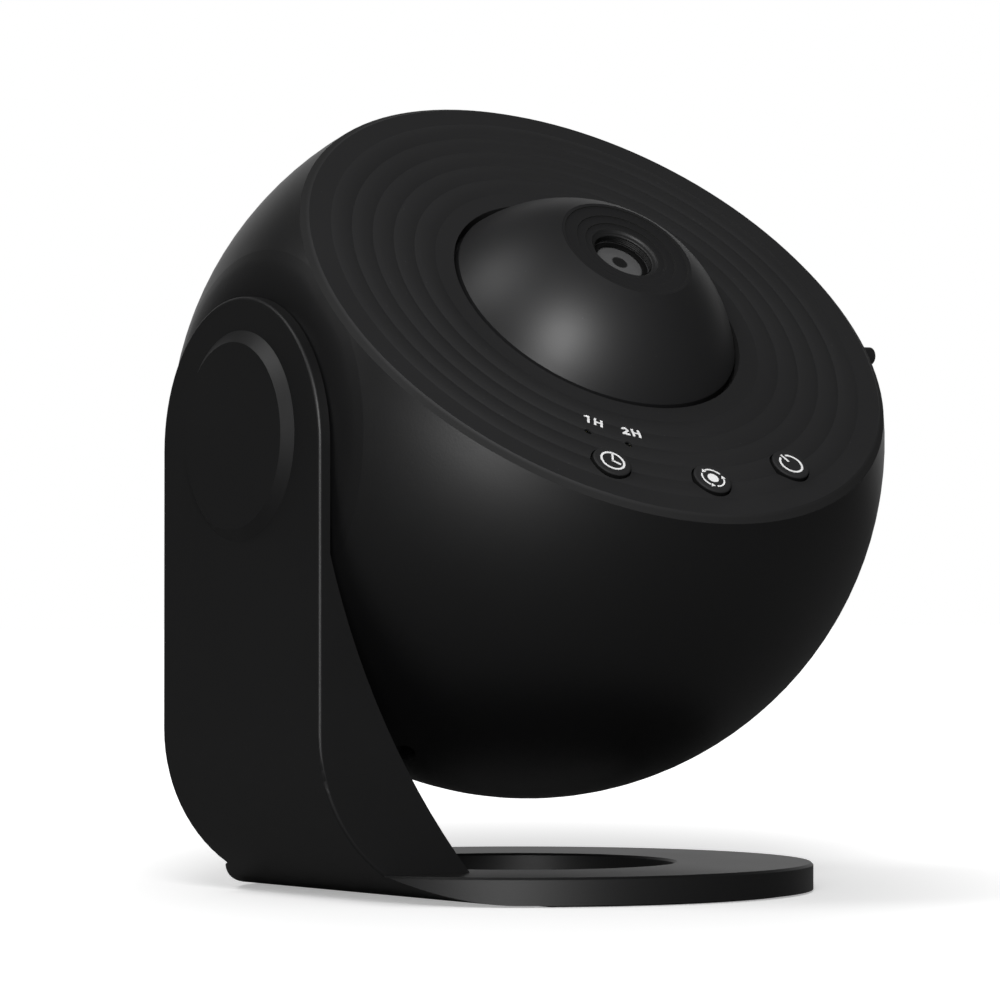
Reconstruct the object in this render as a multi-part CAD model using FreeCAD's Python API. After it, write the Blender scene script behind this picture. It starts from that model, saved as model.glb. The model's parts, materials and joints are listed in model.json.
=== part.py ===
import FreeCAD, Part
import math
import os
from FreeCAD import Vector

# All lengths are in millimetres and all angles in degrees.

# Ball and stance
ball_radius = 75.0
axis_height = 94.1          # tilt axis and ball centre above the table
lens_elevation = 46.7       # lens axis above the horizontal at rest
lowest_elevation = 3.4      # lens axis nearly level
straight_up = 90.0
highest_elevation = straight_up
casing_wall = 2.5
fit_gap = 0.3               # between parts that are put together
running_gap = 0.05          # radial, shafts in holes and flat sliding faces
slide_gap = 0.1             # radial, posts in sleeves and pins in slots

# Face panel: a flat land, rounded ripples and a well for the lens dome
face_offset = 36.7          # rim plane from the ball centre
bevel_height = 1.1
bevel_width = 1.65
panel_wall = 2.5
rim_land = 4.75             # flat band between the bevel and the ripples
ripple_count = 5
ripple_inner = 36.15
ripple_rise = 0.35
skirt_depth = 5.7
skirt_wall = 2.0
well_radius = 32.0
well_depth = 4.0
well_wall = 2.0
ledge_radius = 28.5
ledge_thickness = 1.6
boss_circle = 48.0          # radius of the circle of panel screws
boss_radius = 3.2
boss_first = 45.0

# Lens dome with its bayonet
dome_radius = 35.2
dome_centre = 20.9          # centre of its sphere above the ball centre
dome_top = 53.0
dome_gap = 1.1              # skirt to well wall
dome_wall = 2.2
dome_roof = 2.4             # under the lowest step
step_radii = (13.7, 11.0, 8.95)
step_height = 0.3
mouth_radius = 7.45
mouth_bevel = 1.0
throat_radius = 6.4
throat_length = 1.6
spigot_wall = 1.6
lug_count = 3
lug_sweep = 16.0
lug_reach = 1.9             # past the spigot
lug_height = 1.3
notch_sweep = 22.0
dome_twist = 30.0           # from locked to free

# Objective lens
barrel_radius = 9.0
barrel_length = 11.6
aperture_radius = 2.2
aperture_plate = 1.0
front_lens_radius = 6.3
front_lens_edge = 2.0
front_lens_crown = 0.7
front_ring_height = 1.1
front_ring_hole = 5.6
rear_lens_radius = 7.4
rear_lens_edge = 2.6
rear_lens_crown = 0.9
rear_ring_hole = 6.0
rear_ring_height = 1.2

# Chassis plate that carries the light path
chassis_top = 15.0
chassis_thickness = 2.0
chassis_radius = 52.0
light_bore = 18.2
column_inset = 9.35         # column's axis from the casing's inside at the equator
column_angle = 54.3         # from the tilt axis to a column
column_radius = 3.0
column_foot = -28.0
arm_bar_width = 7.0
post_radius = 1.5
post_circle = 25.2
clip_sweep = 20.0
board_post_radius = 2.4

# Focus ring, lever and film stage
focus_travel = 1.0          # each way
focus_swing = 12.0          # each way
focus_bore = 30.6
focus_wall = 2.2
flange_reach = 1.2
flange_height = 1.45
stage_plate = 1.5
stage_skirt_wall = 2.0
stage_bore = 19.5
collar_radius = 22.0
collar_height = 1.7
sleeve_wall = 1.6
sleeve_roof = 1.2           # over the posts' blind holes
follower_radius = 1.5
follower_height = 20.1
lever_width = 6.0
lever_thickness = 2.0
lever_inset = 7.25          # riser from the casing's inside at the knob's height
lever_tip_width = 2.4
lever_tip_height = 1.6
knob_height = 26.4
knob_radius = 1.95
knob_length = 5.5
knob_proud = 7.1            # past the casing
knob_round = 0.4

# Film turntable, its drive and the film
gear_module = 0.8
turntable_teeth = 80
pinion_teeth = 16
backlash = 0.12
turntable_height = 3.9
turntable_clearance = 1.0   # to the dome's lugs at the top of its travel
turntable_lip = 0.95
aperture_lip = 1.5          # lip inside the bearing bore
film_radius = 26.0
film_clear = 0.15
film_thickness = 1.8
film_window = 21.5
slide_radius = 23.5
slide_thickness = 1.2
motor_radius = 12.0
motor_length = 11.5
motor_boss_radius = 4.5
motor_ear_span = 38.0
motor_ear_width = 7.0
motor_ear_thickness = 0.8
motor_screw_spacing = 31.0
motor_shaft_radius = 1.0
motor_shaft_depth = 8.0     # inside the can
pinion_height = 6.6

# Lamp
housing_wall = 2.0
housing_height = 15.0
housing_foot = 23.5
housing_rim = 25.2
housing_flange = 2.4
lens_seat_width = 1.8
lens_seat_height = 4.1      # above the flange that holds the lamp board
condenser_edge = 1.5
condenser_crown = 5.8
lamp_board_radius = 10.2
lamp_board_thickness = 1.6
emitter_width = 5.0
emitter_height = 1.0
emitter_dome = 2.0
sink_radius = 24.0
sink_plate = 4.0
fin_depth = 17.0
fin_thickness = 1.4
fin_pitch = 5.0

# Buttons, timer lights and their board
button_inset = 11.2         # button's axis from the rim
button_spacing = 24.0       # between neighbours round the face
button_radius = 4.1
button_proud = 1.1
button_round = 0.45
button_flange = 5.6
button_flange_height = 1.0
button_stem = 2.6
button_stem_length = 1.3
button_travel = 0.5
light_inset = 8.4           # timer lights inside the buttons' circle
light_angle = 5.5           # each side of the timer button
light_radius = 0.8
board_thickness = 1.6
control_board_reach = 10.8  # inner edge inside the buttons' circle
control_board_sweep = 72.0
control_screw_inset = 2.2   # screws inside the buttons' circle
switch_width = 6.0
switch_height = 3.3
plunger_radius = 1.6
plunger_height = 0.5

# Main board and its USB-C socket
main_board_top = -7.0
main_board_width = 36.0
main_board_gap = 2.5        # clear of the heat sink
main_board_inset = 4.0      # clear of the casing's inside at the equator
main_post_x = 15.5
main_post_y = (31.0, 46.0)
controller_size = (9.0, 9.0, 1.2)
controller_y = 52.5
driver_size = (5.0, 5.0, 1.5)
driver_at = (-6.5, 40.5)
coil_size = (6.0, 6.0, 3.0)
coil_at = (6.0, 39.0)
capacitor_radius = 2.5
capacitor_height = 5.5
capacitor_x = 11.0
capacitor_inset = 11.5      # from the board's outer edge
plug_size = (8.0, 4.5, 4.5)
plug_x = 5.0
plug_inset = 3.75           # from the board's inner edge
socket_width = 8.94
socket_height = 3.26
socket_length = 7.4
socket_wall = 0.3
socket_recess = 1.8         # behind the casing's surface
tongue_thickness = 0.7

# Stand: arm and base ring in one moulding
arm_thickness = 2.6
arm_half_width = 0.41 * ball_radius
arch_drop = 2.5             # centre of the arch below the tilt axis
bend_radius = 0.45 * ball_radius
break_drop = 24.1           # where the inner side leaves the vertical, below the tilt axis
belly_gap = 3.9             # middle of the inner side's long arc to the ball
belly_angle = 45.4          # from straight down
foot_flat = 1.95            # flat underside between the bend and the foot's inner end
edge_round = 0.7
ring_shift = -2.0           # ring's centre from below the ball's, toward the arm
ring_height = 6.0
ring_edge = 0.5
ring_lip = 0.1              # ring's top left beyond the bore where the foot ends
foot_gap = 0.4              # moulding above the table
moulding_wall = 3.0
cavity_low = 13.0
cavity_drop = 42.1          # top of the cavity below the tilt axis
cover_thickness = 3.0
cover_screw_insets = (10.0, 9.0)
arm_clearance = 0.8         # ball to the dished side of the arm
channel_outer_wall = 2.5
channel_inner_wall = 2.75
channel_stop = 4.8          # channel's end from the foot's inner end
channel_top = 4.3
pad_thickness = 1.6

# Tilt pivot
seat_depth = 7.3            # flat seat below the ball's surface
seat_gap = 0.2
seat_wall = 3.0
seat_round = 22.0           # blend from the seat into the ball
hub_radius = 12.0
hub_bore = 8.5
bush_wall = 2.0
bush_flange = 16.5
bush_flange_height = 1.2
spring_height = 1.6
spring_sheet = 0.4
spring_outer = 16.2
retainer_radius = 17.0
retainer_thickness = 2.2
retainer_screw_circle = 10.25
stop_tab_reach = 3.8
stop_tab_half = 5.0         # degrees
stop_block_half = 4.0       # degrees
stop_block_width = 3.5
stop_block_height = 5.0
stop_margin = 1.0           # degrees
cap_radius = 21.4
cap_top_radius = 19.0
cap_height = 1.8
cap_plug_length = 6.0

# Screws
screw_head = 1.9
screw_head_height = 1.3
screw_shank = 0.9
small_head = 1.5
small_shank = 0.8
well_radius_bore = 2.2
well_tube_wall = 1.5
well_seat = 2.0
screw_bite = 6.0

# Worked-out places, along the lens axis from the ball centre unless named otherwise
rest_turn = straight_up - lens_elevation
face_top = face_offset + bevel_height
panel_under = face_top - panel_wall
rim_radius = math.sqrt(ball_radius ** 2 - face_offset ** 2)
inner_radius = ball_radius - casing_wall
column_circle = inner_radius - column_inset
ripple_outer = rim_radius - bevel_width - rim_land
ripple_pitch = (ripple_outer - ripple_inner) / ripple_count
skirt_outer = math.sqrt(inner_radius ** 2 - face_offset ** 2) - fit_gap
ledge_top = face_top - well_depth
ledge_under = ledge_top - ledge_thickness
spigot_radius = ledge_radius - fit_gap
lug_top = ledge_under - running_gap
lug_under = lug_top - lug_height
step_floor = dome_top - step_height * len(step_radii)
throat_top = step_floor - mouth_bevel
barrel_top = throat_top - throat_length
barrel_under = barrel_top - barrel_length
front_lens_under = barrel_top - front_ring_height - front_lens_crown / 2 - front_lens_edge
aperture_under = front_lens_under - aperture_plate
rear_lens_top = aperture_under - rear_lens_crown
rear_lens_under = rear_lens_top - rear_lens_edge
chassis_under = chassis_top - chassis_thickness
focus_outer = focus_bore + focus_wall
flange_radius = focus_outer + flange_reach
stage_height = lug_under - turntable_clearance - focus_travel - turntable_height - running_gap
stage_radius = focus_bore - fit_gap
stage_foot = chassis_top + focus_travel + 1.2
post_top = stage_height - sleeve_roof - fit_gap - focus_travel
focus_top = stage_height - stage_plate - focus_travel + 0.4
turntable_pitch = gear_module * turntable_teeth / 2
pinion_pitch = gear_module * pinion_teeth / 2
drive_distance = turntable_pitch + pinion_pitch
turntable_under = stage_height + running_gap
turntable_bore = collar_radius + running_gap
bearing_top = stage_height + collar_height + running_gap
film_seat = bearing_top + turntable_lip
turntable_top = turntable_under + turntable_height
pinion_under = turntable_under - focus_travel - 0.3
lamp_flange = chassis_under - housing_height
housing_radius = light_bore + housing_wall
lens_seat = lamp_flange + lens_seat_height + housing_flange
emitter_under = lamp_flange + lamp_board_thickness
sink_under = lamp_flange - sink_plate
button_circle = rim_radius - button_inset
light_circle = button_circle - light_inset
button_top = face_top + button_proud
button_flange_top = panel_under - running_gap
button_foot = button_flange_top - button_flange_height - button_stem_length
button_hole = button_radius + fit_gap
switch_top = button_foot - button_travel - running_gap - plunger_height
control_board_top = switch_top - switch_height
control_board_outer = skirt_outer - skirt_wall - fit_gap
control_board_inner = button_circle - control_board_reach
control_screw_circle = button_circle - control_screw_inset
timer_angle = -90.0 - button_spacing
button_angles = (timer_angle, -90.0, timer_angle + 2 * button_spacing)
light_angles = (timer_angle - light_angle, timer_angle + light_angle)
control_screw_angles = (-90.0 - button_spacing / 2, -90.0 + button_spacing / 2)
main_board_near = sink_radius + main_board_gap
main_board_far = inner_radius - main_board_inset
main_board_under = main_board_top - board_thickness
socket_centre = main_board_top + socket_height / 2
socket_mouth = math.sqrt(ball_radius ** 2 - socket_centre ** 2) - socket_recess
knob_outer = math.sqrt(ball_radius ** 2 - knob_height ** 2) + knob_proud
lever_riser = math.sqrt(inner_radius ** 2 - knob_height ** 2) - lever_inset
column_angles = (column_angle, 180 - column_angle, 180 + column_angle, -column_angle)
seat_offset = ball_radius - seat_depth
seat_inner = seat_offset - seat_wall
arm_inner = seat_offset + seat_gap
arm_outer = arm_inner + arm_thickness
arm_break = axis_height - break_drop
belly_radius = ball_radius + belly_gap
arm_belly = (-belly_radius * math.sin(math.radians(belly_angle)),
             axis_height - belly_radius * math.cos(math.radians(belly_angle)))
foot_reach = arm_outer - bend_radius - foot_flat
cavity_high = axis_height - cavity_drop
cover_screw_heights = (cavity_low + cover_screw_insets[0], cavity_high - cover_screw_insets[1])
bush_radius = hub_radius + running_gap
bush_outer = bush_radius + bush_wall
bush_end = seat_inner - bush_flange_height
hub_end = bush_end - spring_height
retainer_end = hub_end - retainer_thickness
bend_x = bend_radius - arm_outer
bend_centre = bend_radius + foot_gap
ring_start = bend_x - math.sqrt(bend_radius ** 2 - (bend_centre - ring_height) ** 2)
ring_radius = math.hypot(ring_start - ring_shift, arm_half_width)
ring_bore = foot_reach + ring_shift - ring_lip
channel_outer = ring_radius - channel_outer_wall
channel_inner = ring_bore + channel_inner_wall
channel_end = channel_stop - foot_reach

x_axis = Vector(1, 0, 0)
y_axis = Vector(0, 1, 0)
z_axis = Vector(0, 0, 1)
centre = Vector(0, 0, 0)


# Solids about the Z axis and plain boxes
def disc(radius, low, high, x=0.0, y=0.0):
    return Part.makeCylinder(radius, high - low, Vector(x, y, low))


def tube(outer, inner, low, high, x=0.0, y=0.0):
    return disc(outer, low, high, x, y).cut(disc(inner, low, high, x, y))


def block(x_range, y_range, z_range):
    size = [high - low for low, high in (x_range, y_range, z_range)]
    return Part.makeBox(*size, Vector(x_range[0], y_range[0], z_range[0]))


def sector(outer, inner, low, high, middle, sweep):
    wedge = Part.makeCylinder(outer, high - low, Vector(0, 0, low), z_axis, sweep)
    wedge = wedge.cut(disc(inner, low, high))
    wedge.rotate(centre, z_axis, middle - sweep / 2)
    return wedge


def ball(radius):
    return Part.makeSphere(radius, centre)


def polar(radius, angle):
    turn = math.radians(angle)
    return radius * math.cos(turn), radius * math.sin(turn)


def joined(shapes):
    whole = shapes[0]
    for shape in shapes[1:]:
        whole = whole.fuse(shape)
    return whole.removeSplitter()


def group(shapes):
    return Part.makeCompound(shapes)


def copies(shape, angles):
    turned_copies = []
    for angle in angles:
        one = shape.copy()
        one.rotate(centre, z_axis, angle)
        turned_copies.append(one)
    return turned_copies


# A face from steps in one plane: (a, b) ends a line, (a_mid, b_mid, a, b) ends an arc.
def outline(steps, place):
    edges = []
    here = place(*steps[0])
    for step in list(steps[1:]) + [steps[0]]:
        there = place(*step[-2:])
        if len(step) == 4:
            edges.append(Part.Arc(here, place(*step[:2]), there).toShape())
        elif here.distanceToPoint(there) > 1e-6:
            edges.append(Part.LineSegment(here, there).toShape())
        here = there
    return Part.Face(Part.Wire(edges))


def turned(steps):
    return outline(steps, lambda r, z: Vector(r, 0, z)).revolve(centre, z_axis, 360)


# The tilt axis is the ball's X axis; pivot parts are made about Z and laid along X.
def along_x(shape):
    laid = shape.copy()
    laid.rotate(centre, y_axis, 90)
    return laid


def screw(head, shank, under_head, length, head_height, x=0.0, y=0.0):
    top = disc(head, under_head, under_head + head_height, x, y)
    return top.fuse(disc(shank, under_head - length, under_head, x, y))


# The same screw driven upwards, with its head below the part it holds.
def screw_up(head, shank, under_head, length, head_height, x=0.0, y=0.0):
    bottom = disc(head, under_head - head_height, under_head, x, y)
    return bottom.fuse(disc(shank, under_head, under_head + length, x, y))


def obround(width, height, near, far, z):
    half = width / 2 - height / 2
    middle = block((-half, half), (near, far), (z - height / 2, z + height / 2))
    ends = [Part.makeCylinder(height / 2, far - near, Vector(x, near, z), y_axis) for x in (-half, half)]
    return joined([middle] + ends)


# Ball casing: a cup with a flat seat for the arm, four screw wells and the lever slot
def seated_ball(radius, offset):
    body = ball(radius).common(block((-offset, radius), (-radius, radius), (-radius, radius)))
    seat_edges = []
    for edge in body.Edges:
        if all(abs(vertex.X + offset) < 1e-6 for vertex in edge.Vertexes):
            seat_edges.append(edge)
    return body.makeFillet(seat_round, seat_edges)


def ball_casing():
    below_face = block((-ball_radius, ball_radius), (-ball_radius, ball_radius), (-ball_radius, face_offset))
    body = seated_ball(ball_radius, seat_offset).common(below_face)
    hollow_box = block((-seat_inner, ball_radius), (-ball_radius, ball_radius), (-ball_radius, ball_radius))
    hollow = ball(inner_radius).common(hollow_box).cut(group(stop_blocks()))
    body = body.cut(hollow)
    solid_ball = ball(ball_radius - 0.5)
    for angle in column_angles:
        x, y = polar(column_circle, angle)
        well = disc(well_radius_bore + well_tube_wall, -ball_radius, column_foot, x, y)
        body = body.fuse(well.common(solid_ball))
    for angle in column_angles:
        x, y = polar(column_circle, angle)
        body = body.cut(disc(well_radius_bore, -ball_radius, column_foot - well_seat, x, y))
        body = body.cut(disc(screw_shank, -ball_radius, column_foot, x, y))
    body = body.cut(along_x(disc(bush_outer, -ball_radius, 0)))
    tip_half = math.degrees(math.atan2(lever_tip_width / 2 + fit_gap, inner_radius - casing_wall))
    slot_sweep = 2 * (focus_swing + tip_half)
    half = lever_tip_height / 2 + fit_gap
    body = body.cut(sector(ball_radius + 1, lever_riser, knob_height - half, knob_height + half, 0, slot_sweep))
    hole = obround(socket_width + 2 * fit_gap, socket_height + 2 * fit_gap, inner_radius - 5, ball_radius,
                   socket_centre)
    return body.cut(hole)


# Two blocks inside the seat stop the retainer's tab at both ends of the tilt.
def stop_blocks():
    upward = highest_elevation - lens_elevation
    downward = lens_elevation - lowest_elevation
    spare = stop_tab_half + stop_block_half + stop_margin
    inner = retainer_radius + 1
    blocks = []
    for angle in (upward + spare, -downward - spare):
        piece = sector(inner + stop_block_width, inner, -seat_inner, -seat_inner + stop_block_height,
                       0, 2 * stop_block_half)
        piece = along_x(piece)
        piece.rotate(centre, x_axis, angle - rest_turn)
        blocks.append(piece)
    return blocks


# Face panel
def face_panel():
    steps = [(ledge_radius, ledge_under), (ledge_radius, ledge_top), (well_radius, ledge_top),
             (well_radius, face_top), (ripple_inner, face_top)]
    for index in range(ripple_count):
        start = ripple_inner + index * ripple_pitch
        steps.append((start + ripple_pitch / 2, face_top + ripple_rise, start + ripple_pitch, face_top))
    steps += [(rim_radius - bevel_width, face_top), (rim_radius, face_offset), (skirt_outer, face_offset),
              (skirt_outer, face_offset - skirt_depth), (skirt_outer - skirt_wall, face_offset - skirt_depth),
              (skirt_outer - skirt_wall, panel_under), (well_radius + well_wall, panel_under),
              (well_radius + well_wall, ledge_under)]
    body = turned(steps)
    x, y = polar(boss_circle, boss_first)
    bosses = copies(tube(boss_radius, screw_shank, chassis_top, panel_under, x, y), (0, 90, 180, 270))
    for angle in control_screw_angles:
        x, y = polar(control_screw_circle, angle)
        bosses.append(tube(button_stem, small_shank, control_board_top, panel_under, x, y))
    body = joined([body] + bosses)
    for angle in button_angles:
        x, y = polar(button_circle, angle)
        body = body.cut(disc(button_hole, panel_under - 1, face_top + 2, x, y))
    for angle in light_angles:
        x, y = polar(light_circle, angle)
        body = body.cut(disc(light_radius + slide_gap, panel_under - 1, face_top + 2, x, y))
    notch = sector(ledge_radius + lug_reach, ledge_radius - 1, ledge_under - 1, ledge_top + 1,
                   dome_twist, notch_sweep)
    return body.cut(group(copies(notch, lug_angles())))


def lug_angles():
    return [index * 360 / lug_count for index in range(lug_count)]


# Height angle of the middle of a sphere's arc between two radii, given as parts of its own
def halfway(inner_part, outer_part):
    return math.radians(90) - (math.asin(inner_part) + math.asin(outer_part)) / 2


# Lens dome: a turned cap with steps down to the lens, and three bayonet lugs
def lens_dome():
    flat_radius = math.sqrt(dome_radius ** 2 - (dome_top - dome_centre) ** 2)
    skirt_radius = well_radius - dome_gap
    skirt_top = dome_centre + math.sqrt(dome_radius ** 2 - skirt_radius ** 2)
    middle = halfway(flat_radius / dome_radius, skirt_radius / dome_radius)
    inner_skirt = spigot_radius - spigot_wall
    inner_dome = dome_radius - dome_wall
    roof = step_floor - dome_roof
    roof_radius = math.sqrt(inner_dome ** 2 - (roof - dome_centre) ** 2)
    inner_top = dome_centre + math.sqrt(inner_dome ** 2 - inner_skirt ** 2)
    inner_middle = halfway(inner_skirt / inner_dome, roof_radius / inner_dome)
    boss = barrel_radius + dome_wall
    steps = [(throat_radius, barrel_top), (throat_radius, throat_top), (mouth_radius, step_floor)]
    level = step_floor
    for radius in sorted(step_radii):
        steps.append((radius, level))
        level += step_height
        steps.append((radius, level))
    steps += [(flat_radius, dome_top),
              (dome_radius * math.cos(middle), dome_centre + dome_radius * math.sin(middle),
               skirt_radius, skirt_top),
              (skirt_radius, ledge_top), (spigot_radius, ledge_top), (spigot_radius, lug_under),
              (inner_skirt, lug_under), (inner_skirt, inner_top),
              (inner_dome * math.cos(inner_middle), dome_centre + inner_dome * math.sin(inner_middle),
               roof_radius, roof),
              (boss, roof), (boss, barrel_under), (barrel_radius, barrel_under), (barrel_radius, barrel_top)]
    lug = sector(spigot_radius + lug_reach, spigot_radius - spigot_wall / 2, lug_under, lug_top, 0, lug_sweep)
    return joined([turned(steps)] + copies(lug, lug_angles()))


def lens_barrel():
    pocket = front_lens_radius + slide_gap
    rear = rear_lens_radius + slide_gap
    outer = barrel_radius
    return turned([(pocket, barrel_top), (outer, barrel_top), (outer, barrel_under), (rear, barrel_under),
                   (rear, aperture_under), (aperture_radius, aperture_under),
                   (aperture_radius, front_lens_under), (pocket, front_lens_under)])


def front_lens():
    rim = front_lens_under + front_lens_edge
    sphere = (front_lens_radius ** 2 + front_lens_crown ** 2) / (2 * front_lens_crown)
    half = front_lens_radius / 2
    bulge = math.sqrt(sphere ** 2 - half ** 2) - (sphere - front_lens_crown)
    return turned([(0, front_lens_under), (front_lens_radius, front_lens_under), (front_lens_radius, rim),
                   (half, rim + bulge, 0, rim + front_lens_crown)])


def lens_retaining_ring():
    pocket = front_lens_radius + slide_gap
    under = front_lens_under + front_lens_edge + front_lens_crown / 2
    return turned([(front_ring_hole, under), (pocket, under), (pocket, barrel_top),
                   (front_ring_hole + front_ring_height / 2, barrel_top)])


def rear_lens():
    sphere = (rear_lens_radius ** 2 + rear_lens_crown ** 2) / (2 * rear_lens_crown)
    half = rear_lens_radius / 2
    bulge = math.sqrt(sphere ** 2 - half ** 2) - (sphere - rear_lens_crown)
    return turned([(0, rear_lens_under), (rear_lens_radius, rear_lens_under), (rear_lens_radius, rear_lens_top),
                   (half, rear_lens_top + bulge, 0, aperture_under)])


def rear_lens_ring():
    rear = rear_lens_radius + slide_gap
    return tube(rear, rear_ring_hole, rear_lens_under - rear_ring_height, rear_lens_under)


# Chassis plate with columns to the casing, guide posts, clips and board posts
def chassis():
    pieces = [tube(chassis_radius, light_bore, chassis_under, chassis_top)]
    bar = block((chassis_radius - 6, column_circle), (-arm_bar_width / 2, arm_bar_width / 2),
                (chassis_under, chassis_top))
    column = disc(column_radius, column_foot, chassis_top, column_circle)
    pieces += copies(bar, column_angles)
    pieces += copies(column, column_angles)
    post = disc(post_radius, chassis_top, post_top, post_circle)
    pieces += copies(post, (90, 210, 330))
    clip_height = flange_height + 2 * running_gap
    stem = sector(flange_radius + 1.8, flange_radius + 0.2, chassis_top, chassis_top + clip_height + 0.8,
                  0, clip_sweep)
    hook = sector(flange_radius + 1.8, flange_radius - 0.7, chassis_top + clip_height,
                  chassis_top + clip_height + 0.8, 0, clip_sweep)
    pieces += copies(stem.fuse(hook), (60, 180, 300))
    for x in (-main_post_x, main_post_x):
        for y in main_post_y:
            pieces.append(disc(board_post_radius, main_board_top, chassis_under, x, y))
    body = joined(pieces)
    holes = [disc(motor_boss_radius + slide_gap, chassis_under, chassis_top, 0, drive_distance)]
    for x in (-motor_screw_spacing / 2, motor_screw_spacing / 2):
        holes.append(disc(screw_shank, chassis_under, chassis_top, x, drive_distance))
    for x in (-main_post_x, main_post_x):
        for y in main_post_y:
            holes.append(disc(small_shank, main_board_top, main_board_top + screw_bite, x, y))
    x, y = polar(boss_circle, boss_first)
    holes += copies(disc(screw_shank, chassis_under, chassis_top, x, y), (0, 90, 180, 270))
    holes += copies(disc(screw_shank, column_foot, column_foot + screw_bite, column_circle), column_angles)
    holes += copies(disc(small_shank, chassis_under, chassis_top, housing_screw_circle()), housing_angles())
    return body.cut(group(holes))


def housing_screw_circle():
    return (housing_radius + housing_rim) / 2


def housing_angles():
    return (0, 120, 240)


def panel_screws():
    x, y = polar(boss_circle, boss_first)
    one = screw_up(screw_head, screw_shank, chassis_under, chassis_thickness + screw_bite, screw_head_height, x, y)
    return group(copies(one, (0, 90, 180, 270)))


def casing_screws():
    under_head = column_foot - well_seat
    one = screw_up(screw_head, screw_shank, under_head, well_seat + screw_bite, screw_head_height, column_circle)
    return group(copies(one, column_angles))


# Focus ring: three slanted slots lift the film stage as the lever swings
def focus_ring():
    foot = chassis_top + running_gap
    pieces = [tube(focus_outer, focus_bore, foot, focus_top),
              tube(flange_radius, focus_bore, foot, foot + flange_height)]
    ring = joined(pieces)
    middle_radius = focus_bore + focus_wall / 2
    slope = focus_travel / math.sin(math.radians(focus_swing)) / middle_radius
    reach = focus_outer * math.sin(math.radians(focus_swing)) + fit_gap
    half = follower_radius + slide_gap
    middle = block((focus_bore - 2, focus_outer + 2), (-reach, reach), (-half, half))
    ends = [Part.makeCylinder(half, focus_wall + 4, Vector(focus_bore - 2, y, 0), x_axis) for y in (-reach, reach)]
    slot = joined([middle] + ends)
    slot.rotate(centre, x_axis, -math.degrees(math.atan(slope)))
    slot.translate(Vector(0, 0, follower_height))
    ring = ring.cut(group(copies(slot, follower_angles())))
    half_width = lever_width / 2
    thick = lever_thickness
    lever = [block((middle_radius, lever_riser + thick), (-half_width, half_width), (foot, foot + thick)),
             block((lever_riser, lever_riser + thick), (-half_width, half_width),
                   (foot, knob_height + lever_tip_height / 2)),
             lever_tip()]
    return joined([ring] + lever)


def lever_tip():
    half_width = lever_tip_width / 2
    half_height = lever_tip_height / 2
    return block((lever_riser, knob_outer - knob_round - 0.5), (-half_width, half_width),
                 (knob_height - half_height, knob_height + half_height))


def follower_angles():
    return (60, 180, 300)


def focus_knob():
    grip = disc(knob_radius, knob_outer - knob_length, knob_outer)
    edges = [edge for edge in grip.Edges if abs(edge.CenterOfMass.z - knob_outer) < 1e-6]
    grip = along_x(grip.makeFillet(knob_round, edges))
    grip.translate(Vector(0, 0, knob_height))
    return grip.cut(lever_tip())


# Film stage: it slides on three posts and carries the turntable on its collar
def film_stage():
    skirt_inner = stage_radius - stage_skirt_wall
    plate_under = stage_height - stage_plate
    pieces = [tube(stage_radius, stage_bore, plate_under, stage_height),
              tube(stage_radius, skirt_inner, stage_foot, stage_height),
              tube(collar_radius, stage_bore, plate_under, stage_height + collar_height)]
    sleeve = disc(post_radius + slide_gap + sleeve_wall, stage_foot, stage_height, post_circle)
    pieces += copies(sleeve, (90, 210, 330))
    body = joined(pieces)
    bore = disc(post_radius + slide_gap, stage_foot, stage_height - sleeve_roof, post_circle)
    hole = along_x(disc(follower_radius, skirt_inner - 1, stage_radius + 1))
    hole.translate(Vector(0, 0, follower_height))
    body = body.cut(group(copies(bore, (90, 210, 330))))
    return body.cut(group(copies(hole, follower_angles())))


def follower_pins():
    skirt_inner = stage_radius - stage_skirt_wall
    pin = along_x(disc(follower_radius, skirt_inner, focus_outer - 0.2))
    pin.translate(Vector(0, 0, follower_height))
    return group(copies(pin, follower_angles()))


# Straight-flanked gear outline with a tooth centred on the X axis
def gear_face(teeth, height):
    pitch_radius = gear_module * teeth / 2
    tip = pitch_radius + gear_module
    root = pitch_radius - 1.25 * gear_module
    step = 360 / teeth
    thickness = step / 2 - math.degrees(backlash / pitch_radius) / 2
    tip_half = thickness / 2 - math.degrees(math.tan(math.radians(22)) * gear_module / tip)
    root_half = thickness / 2 + math.degrees(math.tan(math.radians(18)) * gear_module / root)
    points = []
    for tooth in range(teeth):
        middle = tooth * step
        for radius, offset in ((root, -root_half), (pitch_radius, -thickness / 2), (tip, -tip_half),
                               (tip, tip_half), (pitch_radius, thickness / 2), (root, root_half)):
            x, y = polar(radius, middle + offset)
            points.append(Vector(x, y, height))
    return Part.Face(Part.makePolygon(points + [points[0]]))


def film_turntable():
    gear = gear_face(turntable_teeth, turntable_under).extrude(Vector(0, 0, turntable_height))
    seat = disc(film_radius + film_clear, film_seat, turntable_top)
    window = disc(turntable_bore - aperture_lip, turntable_under, turntable_top)
    bearing = disc(turntable_bore, turntable_under, bearing_top)
    return gear.cut(seat).cut(window).cut(bearing)


def film_frame():
    top = film_seat + film_thickness
    slide_under = top - slide_thickness
    return turned([(film_window, film_seat), (film_radius, film_seat), (film_radius, top), (slide_radius, top),
                   (slide_radius, slide_under), (film_window, slide_under)])


def film_slide():
    top = film_seat + film_thickness
    return disc(slide_radius, top - slide_thickness, top)


def motor_pinion():
    pinion = gear_face(pinion_teeth, pinion_under).extrude(Vector(0, 0, pinion_height))
    pinion.rotate(centre, z_axis, -90 + 180 / pinion_teeth)
    pinion.translate(Vector(0, drive_distance, 0))
    return pinion.cut(disc(motor_shaft_radius, pinion_under, pinion_under + pinion_height, 0, drive_distance))


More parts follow.
